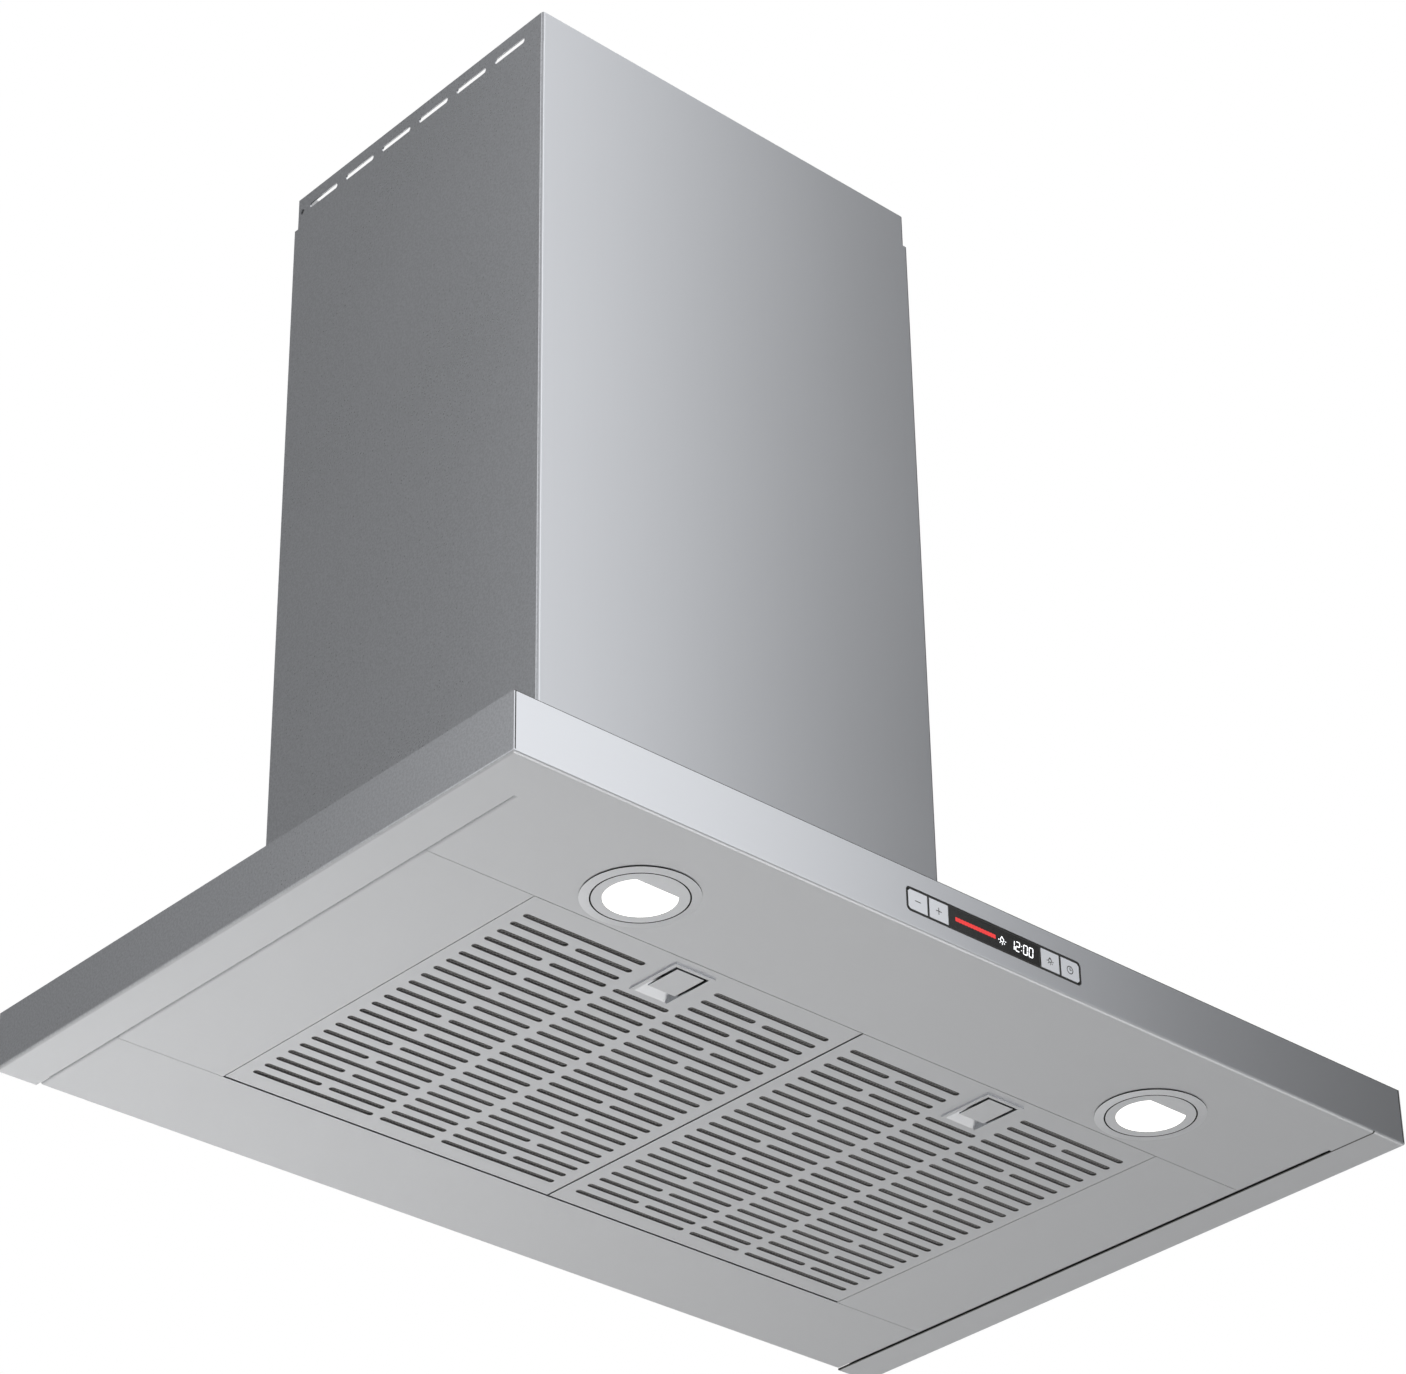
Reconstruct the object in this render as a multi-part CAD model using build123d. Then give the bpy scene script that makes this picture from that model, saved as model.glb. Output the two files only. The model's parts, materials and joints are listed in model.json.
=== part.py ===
from build123d import *
import math
import os

# Wall chimney range hood. Millimetres, +Z up, +X to the right as seen from the front, +Y towards the wall.
# Pieces are drawn with Z = 0 on the canopy's underside, at the middle of the outline. They are saved a little
# higher, because the lamps hang lowest and their faces are the part's Z = 0.

# Canopy
canopy_width = 750.0
canopy_depth = 500.0
canopy_height = 40.0
canopy_sheet = 1.2
canopy_fold_radius = 2.0
bend_flats = 4
flange_width = 30.4
front_strip_depth = 115.0
strip_lip_height = 22.0
slit_start = 36.0
slit_width = 0.8
slit_lip_height = 7.0
canopy_back_inset = 12.0
back_fold = 8.0
air_opening_margin = 9.0

# Underside panels
panel_sheet = 1.0
panel_bend = 2.4
panel_fit = 0.3
panel_back_inset = 3.0
panel_flange_height = 12.0
seam = 0.5

# Filters
filter_width = 262.0
filter_depth = 298.6
filter_height = 12.0
filter_sheet = 0.8
filter_seam = 1.4
filter_front_gap = 0.4
filter_rear_gap = 1.8
rim_inset = 4.0
slot_rows = 23
slot_columns = 5
slot_width = 4.0
slot_bridge = 7.0
slot_side_margin = 9.5
slot_front_margin = 20.8
slot_rear_margin = 17.3
mesh_fit = 1.5
mesh_thickness = 7.6
back_sheet = 0.8
back_columns = 2
back_rows = 3
back_bar = 12.0

# Filter pivots
pivot_inset = 14.0
pivot_height = 6.0
pivot_pin_radius = 2.0
pivot_play = 0.05
hanger_sheet = 0.8
hanger_tab_width = 12.0
hanger_tab_depth = 10.0

# Filter latch
cup_inset = 6.5
cup_width = 32.0
cup_depth = 42.0
cup_ledge = 2.8
cup_drop = 1.0
cup_rise = 8.0
ramp_length = 11.0
latch_plate_gap = 2.5
latch_front_gap = 1.7
latch_plate_sheet = 1.0
latch_travel = 5.0
latch_bar_width = 12.0
latch_bar_height = 3.0
latch_bar_floor = 6.0
latch_clear = 0.5
latch_fit = 0.4
latch_stem_width = 9.0
latch_stem_depth = 10.0
latch_stem_inset = 4.0
latch_wall = 1.2

# Lights
light_spacing = 432.0
light_gap = 3.0
trim_radius = 36.0
trim_edge = 0.6
lamp_drop = 1.2
light_face_radius = 28.9
light_groove = 1.0
light_groove_depth = 1.0
lamp_hole_radius = 31.0
lamp_hole_fit = 0.5
light_barrel_height = 6.6
lens_radius = 22.5
lens_chord = 15.3
lens_fit = 0.2
lens_thickness = 1.2
light_clip_reach = 6.0
light_clip_width = 8.0
light_clip_sheet = 1.2
light_sink_width = 40.0
light_sink_height = 16.0
light_sink_fins = 3
light_fin = 2.4
light_fin_depth = 10.0

# Controls
control_width = 148.0
control_height = 16.0
control_corner = 3.0
control_centre_height = 19.5
control_fit = 0.3
control_web = 1.2
control_depth = 5.8
control_recess = 0.2
control_rim = 4.0
control_rim_sheet = 2.0
button_width = 16.2
button_fit = 0.25
button_tail = 0.2
button_travel = 0.8
button_collar = 0.4
button_collar_sheet = 1.2
button_corner = 1.5
display_glass = 3.0
display_fit = 0.1
board_sheet = 1.6
switch_size = 6.0
switch_height = 1.4
switch_gap = 0.2

# LED driver
driver_width = 120.0
driver_depth = 40.0
driver_height = 21.0
driver_inset = 40.0
driver_bevel = 2.0

# Chimney covers
chimney_width = 356.0
chimney_depth = 284.0
chimney_sheet = 1.0
chimney_bend = 2.0
chimney_return = 15.0
nest_clearance = 0.6
hood_height = 790.0
upper_show = 29.0
upper_length = 390.0
stop_tab = 9.0
stop_tab_width = 24.0
vent_slots = 6
vent_length = 32.5
vent_pitch = 42.8
vent_width = 4.4
vent_bevel = 1.3
vent_below_top = 13.0
vent_first = 14.0
fixing_hole_inset = 4.5

# Chimney wall bracket
bracket_height = 24.0
bracket_sheet = 1.0
bracket_below_top = 2.0
bracket_return_gap = 11.4
bracket_jog = 13.0
bracket_screw_spacing = 240.0
bracket_screw_radius = 3.0

# Motor box
box_side_gap = 15.0
box_front_gap = 13.0
box_height = 300.0
box_sheet = 1.0
box_flange = 12.0
wall_hole_spacing = 240.0
wall_hole_rise = 180.0
wall_hole_first = 60.0
wall_hole_radius = 4.0

# Blower scroll
scroll_axis_height = 115.0
scroll_start_radius = 84.0
scroll_growth = 28.0
tongue_angle = 70.0
scroll_inner_width = 112.0
scroll_wall = 2.0
scroll_flats = 14
inlet_margin = 2.0
shaft_hole_radius = 8.0
outlet_flange = 8.0
outlet_flange_sheet = 3.0

# Fan wheel
tongue_gap = 7.0
blade_depth = 13.0
wheel_gap = 8.0
blade_count = 24
blade_sheet = 1.2
blade_hook = 9.0
blade_edge = 1.0
wheel_disc = 3.0
wheel_ring = 3.0
hub_radius = 12.0
hub_length = 24.0

# Motor
shaft_radius = 4.0
shaft_play = 0.05
shaft_seat = 40.0
motor_radius = 42.0
motor_sides = 12
motor_length = 70.0
capacitor_width = 36.0
capacitor_depth = 18.0
capacitor_height = 28.0

# Outlet collar and damper
collar_radius = 74.5
collar_wall = 2.5
collar_height = 55.0
collar_wall_gap = 15.5
collar_flange_lip = 9.5
collar_flange = 3.0
damper_offset = 4.5
damper_bar_radius = 1.5
damper_bar_fit = 0.1
damper_pocket_depth = 1.2
flap_sheet = 1.5
flap_sides = 20
flap_edge_gap = 0.8
flap_seat_gap = 0.2

# Terminal box and gland
terminal_width = 50.0
terminal_depth = 46.0
terminal_height = 32.0
terminal_wall = 2.0
terminal_gap = 8.0
gland_radius = 11.5
gland_height = 18.0
gland_bore_radius = 4.5
gland_knockout = 11.0
gland_bevel = 1.5

# Screws
screw_head_radius = 4.0
screw_head_height = 3.0

# Planes and lines that several pieces share
front = -canopy_depth / 2
wall = canopy_depth / 2
half_width = canopy_width / 2
strip_end = front + front_strip_depth
opening_half = half_width - flange_width
panel_half = opening_half - slit_width
filter_front = strip_end + filter_front_gap
filter_rear = filter_front + filter_depth
panel_front = filter_rear + filter_rear_gap
pivot_y = filter_rear - pivot_inset
filter_inner = filter_seam / 2
filter_outer = filter_inner + filter_width
filter_middle = (filter_inner + filter_outer) / 2
slot_unit = (filter_width - 2 * slot_side_margin - (slot_columns - 1) * slot_bridge) / slot_columns
slot_pitch = (filter_depth - slot_front_margin - slot_rear_margin) / (slot_rows - 1)
rim_outer = filter_outer - rim_inset
rim_inner = filter_inner + rim_inset
side_panel_inner = filter_outer + seam
back_wall = wall - canopy_back_inset - canopy_sheet
cup_front = filter_front + cup_inset
cup_rear = cup_front + cup_depth
ramp_front = cup_rear - ramp_length
latch_plate_front = cup_front + cup_ledge + latch_front_gap
light_y = strip_end - light_gap - trim_radius
button_length = control_recess + control_depth + button_collar_sheet + button_tail
board_gap = button_length + button_travel + switch_gap + switch_height
chimney_front = wall - chimney_depth
nest = chimney_sheet + nest_clearance
upper_half = chimney_width / 2 - nest
upper_front = chimney_front + nest
upper_back = wall - nest
upper_bottom = hood_height - upper_length
box_width = chimney_width - 2 * (chimney_sheet + box_side_gap + box_flange)
box_front = chimney_front + chimney_sheet + box_front_gap + box_flange
box_top = canopy_height + box_height
scroll_front_radius = scroll_start_radius + scroll_growth * (180 - tongue_angle) / (360 - tongue_angle)
scroll_rear_radius = scroll_start_radius + scroll_growth
scroll_y = (box_front + wall + scroll_front_radius - scroll_rear_radius) / 2
scroll_z = canopy_height + scroll_axis_height
wheel_radius = scroll_start_radius - tongue_gap
blade_inner_radius = wheel_radius - blade_depth
wheel_width = scroll_inner_width - 2 * wheel_gap
collar_y = wall - collar_wall_gap - collar_radius
collar_flange_half = collar_radius + collar_flange_lip
damper_z = box_top + flap_seat_gap + damper_bar_radius


def block(x0, x1, y0, y1, z0, z1):
    """Rectangular block between two corners."""
    size = Box(x1 - x0, y1 - y0, z1 - z0, align=(Align.MIN, Align.MIN, Align.MIN))
    return Pos(x0, y0, z0) * size


def folded(points, sheet):
    """Section of a bent sheet that lies on the left of an open outline."""
    return make_face(offset(Polyline(*points), amount=sheet, side=Side.LEFT, kind=Kind.INTERSECTION))


def turned(points):
    """Solid turned about the vertical through the origin from a closed outline of radius and height."""
    return revolve(Plane.XZ * make_face(Polyline(*points, close=True)), Axis.Z)


def along_x(section, x0, x1):
    """Section drawn in Y and Z, carried along X from x0 to x1."""
    return Pos(x0, 0, 0) * extrude(Plane.YZ * section, x1 - x0)


def drum(radius, x0, x1, y, z):
    """Round bar along X."""
    return Pos(x0, y, z) * extrude(Plane.YZ * Circle(radius), x1 - x0)


def flatted_bar(radius, x0, x1, y, z):
    """Bar along X with twelve flats, for small round pins that repeat."""
    return along_x(Pos(y, z) * RegularPolygon(radius, 12), x0, x1)


def pivot_hole(x0, x1):
    """Clearance for a filter's pivot pin, with its flats outside the pin's circle."""
    radius = (pivot_pin_radius + pivot_play) / math.cos(math.pi / 12)
    return flatted_bar(radius, x0, x1, pivot_y, pivot_height)


def upright(radius, x, y, z0, z1):
    """Round bar along Z."""
    return Pos(x, y, z0) * extrude(Circle(radius), z1 - z0)


def through_y(radius, x, z, y0, y1):
    """Round bar along Y."""
    return Pos(x, y1, z) * extrude(Plane.XZ * Circle(radius), y1 - y0)


def bend_insets(radius):
    """Insets of a bend's points from a square corner, from one side to the other, drawn in flats."""
    turns = [math.pi / 2 * k / bend_flats for k in range(bend_flats + 1)]
    return [(radius * (1 - math.cos(turn)), radius * (1 - math.sin(turn))) for turn in turns]


def slit_bend(y0, y1):
    """What the bend beside the right slit takes off a square corner of the sheet."""
    bend = [(panel_half - x, z) for x, z in bend_insets(panel_bend)]
    outside = [(panel_half - panel_bend, -1), (opening_half, -1), (opening_half, panel_bend)]
    waste = make_face(Polyline(*bend, *outside, close=True))
    return Pos(0, y1, 0) * extrude(Plane.XZ * waste, y1 - y0)


def both_sides(piece):
    """The piece and its mirror image across the middle plane."""
    return [piece, mirror(piece, Plane.YZ)]


def canopy_shell():
    """Fascia, sides, front strip and side flanges in one folded sheet, open at the top and the back."""
    body = block(-half_width, half_width, front, wall, 0, canopy_height)
    folds = body.edges().group_by(Axis.Z)[0].sort_by(Axis.Y)[:-1]
    body = fillet(folds, canopy_fold_radius)
    room = block(-half_width + canopy_sheet, half_width - canopy_sheet, front + canopy_sheet, wall + 1,
                 canopy_sheet, canopy_height + 1)
    shell = body - room
    shell -= block(-opening_half, opening_half, strip_end, wall + 1, -1, canopy_sheet + 1)
    lip = block(-panel_half, panel_half, strip_end - canopy_sheet, strip_end, 0, strip_lip_height)
    window_x = latch_bar_width / 2 + latch_fit
    window_floor = latch_bar_floor - latch_fit
    window_top = latch_bar_floor + latch_bar_height + latch_fit
    window = block(filter_middle - window_x, filter_middle + window_x, strip_end - canopy_sheet - 1,
                   strip_end + 1, window_floor, window_top)
    slit = block(panel_half, opening_half, front + slit_start, strip_end + 1, -1, canopy_sheet + 1)
    slit_lip = block(panel_half - canopy_sheet, panel_half, front + slit_start, strip_end, 0, slit_lip_height)
    lamp_hole = upright(lamp_hole_radius, light_spacing / 2, light_y, -1, canopy_sheet + 1)
    for cut in both_sides(slit) + both_sides(lamp_hole):
        shell -= cut
    shell += lip
    for add in both_sides(slit_lip):
        shell += add
    for cut in both_sides(window) + both_sides(slit_bend(front + slit_start, strip_end + 1)):
        shell -= cut
    return shell - control_outline(control_fit, canopy_sheet)


def control_outline(grow, depth):
    """Rounded outline of the control strip, grown all round, through the fascia."""
    face = RectangleRounded(control_width + 2 * grow, control_height + 2 * grow, control_corner + grow)
    return Pos(0, front + depth + 1, control_centre_height) * extrude(Plane.XZ * face, depth + 2)


def canopy_top():
    """Top plate between the canopy's walls, with the opening to the motor box."""
    edge = half_width - canopy_sheet - panel_fit
    plate = block(-edge, edge, front + canopy_sheet + panel_fit, wall,
                  canopy_height - canopy_sheet, canopy_height)
    half = box_width / 2 - box_sheet - air_opening_margin
    return plate - block(-half, half, box_front + box_sheet + air_opening_margin, back_wall - panel_fit,
                         0, canopy_height + 1)


def canopy_back():
    """Inner rear wall with a folded top edge under the top plate."""
    edge = half_width - canopy_sheet - panel_fit
    top = canopy_height - canopy_sheet
    path = [(back_wall + back_fold, top), (back_wall, top), (back_wall, canopy_sheet)]
    return along_x(folded(path, canopy_sheet), -edge, edge)


def side_panel():
    """Right filler panel: a tray with flanges on all sides, bent round along the slit, and a pivot hole."""
    y0 = strip_end + panel_fit
    y1 = panel_front - panel_fit
    tray = block(side_panel_inner, panel_half, y0, y1, 0, panel_flange_height)
    tray -= block(side_panel_inner + panel_sheet, panel_half - panel_sheet,
                  y0 + panel_sheet, y1 - panel_sheet, panel_sheet, panel_flange_height + 1)
    tray -= slit_bend(y0 - 1, y1 + 1)
    tray -= block(panel_half - 2 * panel_sheet, panel_half + 1, y0 - 1, y1 + 1,
                  slit_lip_height, panel_flange_height + 1)
    return tray - pivot_hole(side_panel_inner - 1, side_panel_inner + panel_sheet + 1)


def rear_panel():
    """Underside strip behind the filters, folded up along its front edge and bent up at both ends."""
    panel = block(-panel_half, panel_half, panel_front, wall - panel_back_inset, 0, panel_flange_height)
    panel -= block(-panel_half + panel_sheet, panel_half - panel_sheet, panel_front + panel_sheet,
                   wall, panel_sheet, panel_flange_height + 1)
    end_cut = block(panel_half - 2 * panel_sheet, panel_half + 1, panel_front - 1, wall,
                    slit_lip_height, panel_flange_height + 1)
    back_cut = block(panel_half - 2 * panel_sheet, panel_half + 1, back_wall - panel_fit, wall,
                     panel_sheet, panel_flange_height + 1)
    for cut in both_sides(end_cut) + both_sides(back_cut) + both_sides(slit_bend(panel_front - 1, wall)):
        panel -= cut
    return panel


def filter_hanger():
    """Thin plate between the filters: a hole for both inner pivot pins, and a tab on the rear panel."""
    half = hanger_sheet / 2
    reach = pivot_y - 3 * pivot_pin_radius
    floor = pivot_height - 2 * pivot_pin_radius
    top = panel_flange_height + hanger_sheet
    blade = block(-half, half, reach, panel_front, floor, top)
    tab = block(-half, hanger_tab_width, panel_front, panel_front + hanger_tab_depth,
                panel_flange_height, top)
    return blade + tab - pivot_hole(-hanger_sheet, hanger_sheet)


def filter_slots():
    """Slots of the right filter: long pairs in odd rows, single units in even rows."""
    step = slot_unit + slot_bridge
    long_slot = 2 * slot_unit + slot_bridge
    odd = [(-1.5 * step, long_slot), (0, slot_unit), (1.5 * step, long_slot)]
    even = [(column * step, slot_unit) for column in range(-2, 3)]
    slots = []
    for row in range(slot_rows):
        y = filter_front + slot_front_margin + row * slot_pitch
        beside_cup = y - slot_width / 2 < cup_rear + filter_sheet
        for x, length in (even if row % 2 else odd):
            if x == 0 and beside_cup:
                continue
            slots.append(Pos(filter_middle + x, y) * Rectangle(length, slot_width))
    return slots


def filter_face():
    """Right filter's face: slotted sheet, upturned rim with welded pivot pins, and the finger cup."""
    sheet = Rectangle(filter_width, filter_depth)
    sheet = Pos(filter_middle, (filter_front + filter_rear) / 2) * sheet
    cup = Pos(filter_middle, (cup_front + cup_rear) / 2) * Rectangle(cup_width, cup_depth)
    face = extrude(sheet - filter_slots() - cup, filter_sheet)
    y0 = filter_front + rim_inset
    y1 = filter_rear - rim_inset
    rim = block(rim_inner, rim_outer, y0, y1, 0, filter_height)
    rim -= block(rim_inner + filter_sheet, rim_outer - filter_sheet, y0 + filter_sheet, y1 - filter_sheet,
                 -1, filter_height + 1)
    bar_x = latch_bar_width / 2 + latch_fit
    rim -= block(filter_middle - bar_x, filter_middle + bar_x, y0 - 1, y0 + filter_sheet + 1,
                 latch_bar_floor - latch_fit, latch_bar_floor + latch_bar_height + latch_fit)
    pin_end = side_panel_inner + panel_sheet
    outer_pin = flatted_bar(pivot_pin_radius, rim_outer, pin_end, pivot_y, pivot_height)
    inner_pin = flatted_bar(pivot_pin_radius, pivot_play, rim_inner, pivot_y, pivot_height)
    return face + rim + finger_cup() + outer_pin + inner_pin


def finger_cup():
    """Pad pressed out round the latch plate, with a ramp that leads a finger in behind the plate."""
    half = cup_width / 2
    window = half - cup_ledge
    pad = block(filter_middle - half, filter_middle + half, cup_front, cup_rear, -cup_drop, filter_sheet)
    pad -= block(filter_middle - half + filter_sheet, filter_middle + half - filter_sheet,
                 cup_front + filter_sheet, cup_rear - filter_sheet, filter_sheet - cup_drop, filter_sheet + 1)
    pad -= block(filter_middle - window, filter_middle + window, cup_front + cup_ledge, cup_rear,
                 -cup_drop - 1, filter_sheet + 1)
    slope = math.hypot(ramp_length, cup_rise)
    drop = filter_sheet * slope / ramp_length
    ramp = make_face(Polyline((cup_rear, 0), (cup_rear + filter_sheet, 0), (cup_rear + filter_sheet, drop),
                              (ramp_front, cup_rise + drop), (ramp_front, cup_rise), close=True))
    ramp = along_x(ramp, filter_middle - window - filter_sheet, filter_middle + window + filter_sheet)
    cheek = make_face(Polyline((cup_rear, -cup_drop), (ramp_front, -cup_drop), (ramp_front, cup_rise),
                               (cup_rear, 0), close=True))
    left = along_x(cheek, filter_middle - window - filter_sheet, filter_middle - window)
    right = along_x(cheek, filter_middle + window, filter_middle + window + filter_sheet)
    return pad + ramp + left + right


def filter_mesh():
    """Expanded metal mat inside the right filter's rim, cut away round the latch pocket."""
    margin = filter_sheet + mesh_fit
    y0 = filter_front + rim_inset + margin
    y1 = filter_rear - rim_inset - margin
    mat = block(rim_inner + margin, rim_outer - margin, y0, y1, filter_sheet, filter_sheet + mesh_thickness)
    room = cup_width / 2 + filter_sheet + latch_fit
    return mat - block(filter_middle - room, filter_middle + room, y0 - 1,
                       cup_rear + filter_sheet + latch_fit, 0, filter_height)


def filter_back():
    """Open plate that keeps the mat in the rim: a sheet with a grid of windows."""
    fit = filter_sheet + panel_fit
    width = rim_outer - rim_inner - 2 * fit
    depth = filter_depth - 2 * rim_inset - 2 * fit
    window = Rectangle((width - (back_columns + 1) * back_bar) / back_columns,
                       (depth - (back_rows + 1) * back_bar) / back_rows)
    grid = GridLocations((width - back_bar) / back_columns, (depth - back_bar) / back_rows,
                         back_columns, back_rows)
    plate = Rectangle(width, depth) - [place * window for place in grid]
    middle = (filter_front + filter_rear) / 2
    plate = Pos(filter_middle, middle, filter_sheet + mesh_thickness) * extrude(plate, back_sheet)
    room = cup_width / 2 + filter_sheet + latch_fit
    return plate - block(filter_middle - room, filter_middle + room, filter_front,
                         cup_rear + filter_sheet + latch_fit, 0, filter_height)


def latch_housing():
    """Plastic pocket over the finger cup, open below, with a slot for the tongue at the front."""
    half = cup_width / 2 - panel_fit
    floor = filter_sheet
    top = filter_height
    y0 = filter_front + rim_inset + filter_sheet
    y1 = cup_rear
    pocket = block(filter_middle - half, filter_middle + half, y0, y1, floor, top)
    pocket -= block(filter_middle - half + latch_wall, filter_middle + half - latch_wall, y0 + latch_wall,
                    y1 - latch_wall, 0, top - latch_wall)
    bar_x = latch_bar_width / 2 + latch_fit
    pocket -= block(filter_middle - bar_x, filter_middle + bar_x, y0 - 1, y0 + latch_wall + 1,
                    latch_bar_floor - latch_fit, latch_bar_floor + latch_bar_height + latch_fit)
    ramp_room = [(ramp_front - latch_fit, 0), (cup_rear + 1, 0), (cup_rear + 1, 2 * filter_sheet + latch_fit),
                 (ramp_front - latch_fit, cup_rise + 2 * filter_sheet)]
    ramp_room = make_face(Polyline(*ramp_room, close=True))
    return pocket - along_x(ramp_room, filter_middle - half - 1, filter_middle + half + 1)


def latch_slider():
    """Finger plate, stem, and the bar whose tongue passes through the front strip's lip."""
    plate_x = cup_width / 2 - cup_ledge - latch_plate_gap
    stem_x = latch_stem_width / 2
    bar_x = latch_bar_width / 2
    plate_top = latch_plate_sheet - cup_drop
    plate = block(filter_middle - plate_x, filter_middle + plate_x, latch_plate_front, ramp_front,
                  -cup_drop, plate_top)
    stem_y = latch_plate_front + latch_stem_inset
    stem = block(filter_middle - stem_x, filter_middle + stem_x, stem_y, stem_y + latch_stem_depth,
                 plate_top, latch_bar_floor)
    tip = strip_end + latch_clear - latch_travel
    bar = block(filter_middle - bar_x, filter_middle + bar_x, tip, stem_y + latch_stem_depth,
                latch_bar_floor, latch_bar_floor + latch_bar_height)
    nose = bar.edges().filter_by(Axis.X).group_by(Axis.Y)[0].sort_by(Axis.Z)[-1]
    return plate + stem + chamfer(nose, latch_bar_height - latch_plate_sheet)


def lens_outline(radius, chord):
    """Disc with its front side cut off along a chord."""
    return Circle(radius) - Pos(0, -chord - radius) * Rectangle(2 * radius, 2 * radius)


def light_lens():
    """Diffuser in the lamp's D-shaped recess."""
    face = lens_outline(lens_radius - lens_fit, lens_chord - lens_fit)
    return Pos(0, 0, -lamp_drop) * extrude(face, lens_thickness)


def light_body():
    """Lamp body: coned trim ring, grooved round its face, flatted barrel through the strip, clips and fins."""
    barrel = lamp_hole_radius - lamp_hole_fit
    body = turned([
        (0, -lamp_drop), (light_face_radius, -lamp_drop),
        (light_face_radius + light_groove / 2, light_groove_depth - lamp_drop),
        (light_face_radius + light_groove, -lamp_drop), (trim_radius, -trim_edge), (trim_radius, 0), (0, 0)])
    body += extrude(RegularPolygon(barrel, 12), light_barrel_height)
    clip = block(barrel - light_clip_sheet, barrel + light_clip_reach, -light_clip_width / 2,
                 light_clip_width / 2, canopy_sheet, canopy_sheet + light_clip_sheet)
    for add in both_sides(clip):
        body += add
    half = light_sink_width / 2
    top = light_barrel_height + light_sink_height
    body += block(-half, half, -half, half, light_barrel_height, top)
    pitch = (light_sink_width - light_fin) / (light_sink_fins - 1)
    for k in range(light_sink_fins - 1):
        x = -half + light_fin + k * pitch
        body -= block(x, x + pitch - light_fin, -half - 1, half + 1, top - light_fin_depth, top + 1)
    recess = extrude(lens_outline(lens_radius, lens_chord), lens_thickness)
    return body - Pos(0, 0, -lamp_drop) * recess


def lamp_pair(piece):
    """The same lamp piece, made about the vertical axis, at both lamps."""
    return [Pos(x, light_y, 0) * piece for x in (-light_spacing / 2, light_spacing / 2)]


def control_layout():
    """Middle and width of each window in the control strip: two buttons, display, two buttons."""
    step = button_width + control_web
    first = -control_width / 2 + control_web + button_width / 2
    display = control_width - 4 * step - 2 * control_web
    return [first, first + step, -first - step, -first], display


def control_bezel():
    """Black frame of the control strip with a rim behind the fascia and posts for the board."""
    centres, display = control_layout()
    window = control_height - 2 * control_web
    y0 = front + control_recess
    face = RectangleRounded(control_width, control_height, control_corner)
    rim_y = front + canopy_sheet
    frame = Pos(0, y0 + control_depth, control_centre_height) * extrude(Plane.XZ * face, control_depth)
    rim = Rectangle(control_width + 2 * control_rim, control_height + 2 * control_rim)
    rim = extrude(Plane.XZ * rim, control_rim_sheet)
    frame += Pos(0, rim_y + control_rim_sheet, control_centre_height) * rim
    post_x = control_width / 2 + control_rim / 2
    for x in (-post_x, post_x):
        frame += block(x - control_rim / 2, x + control_rim / 2, rim_y, front + board_gap,
                       control_centre_height - control_rim, control_centre_height + control_rim)
    for x, width in [(c, button_width) for c in centres] + [(0, display)]:
        frame -= block(x - width / 2, x + width / 2, front - 1, front + board_gap,
                       control_centre_height - window / 2, control_centre_height + window / 2)
    return frame


def push_button(centre):
    """Button cap with a collar behind the frame that stops it from falling out."""
    width = button_width - 2 * button_fit
    height = control_height - 2 * control_web - 2 * button_fit
    collar_y = front + control_recess + control_depth
    cap = block(centre - width / 2, centre + width / 2, front, front + button_length,
                control_centre_height - height / 2, control_centre_height + height / 2)
    edge = centre + math.copysign(width / 2, centre)
    outer = abs(centre) > control_width / 2 - control_web - button_width
    if outer:
        corners = cap.edges().filter_by(Axis.Y).filter_by_position(Axis.X, edge - 0.01, edge + 0.01)
        cap = chamfer(corners, button_corner)
    collar = block(centre - width / 2 - button_collar, centre + width / 2 + button_collar, collar_y,
                   collar_y + button_collar_sheet, control_centre_height - height / 2 - button_collar,
                   control_centre_height + height / 2 + button_collar)
    return cap + collar


def display_window():
    """Dark glass in the middle of the control strip."""
    display = control_layout()[1] - 2 * display_fit
    height = control_height - 2 * control_web - 2 * display_fit
    y0 = front + control_recess
    return block(-display / 2, display / 2, y0, y0 + display_glass,
                 control_centre_height - height / 2, control_centre_height + height / 2)


def display_module():
    """Lit display between the glass and the board."""
    display = control_layout()[1] - 2 * control_web
    height = control_height - 4 * control_web
    return block(-display / 2, display / 2, front + control_recess + display_glass, front + board_gap,
                 control_centre_height - height / 2, control_centre_height + height / 2)


def control_board():
    """Circuit board on the frame's posts."""
    half = control_width / 2 + control_rim
    rise = control_height / 2 + control_rim
    return block(-half, half, front + board_gap, front + board_gap + board_sheet,
                 control_centre_height - rise, control_centre_height + rise)


def tact_switches():
    """One small switch on the board behind each button."""
    half = switch_size / 2
    return [block(x - half, x + half, front + board_gap - switch_height, front + board_gap,
                  control_centre_height - half, control_centre_height + half) for x in control_layout()[0]]


def led_driver():
    """Lamp driver on the front strip, with bevelled upper edges."""
    half = driver_width / 2
    y0 = front + driver_inset
    case = block(-half, half, y0, y0 + driver_depth, canopy_sheet, canopy_sheet + driver_height)
    return chamfer(case.edges().group_by(Axis.Z)[-1], driver_bevel)


def cover_section(half, y_front, y_back, width):
    """Plan of a chimney cover: front, sides bent back from it, and two narrow returns at the back."""
    left = [(-half + width, y_back), (-half, y_back)]
    left += [(-half + x, y_front + y) for x, y in bend_insets(chimney_bend)]
    return folded(left + [(-x, y) for x, y in reversed(left)], chimney_sheet)


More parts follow.
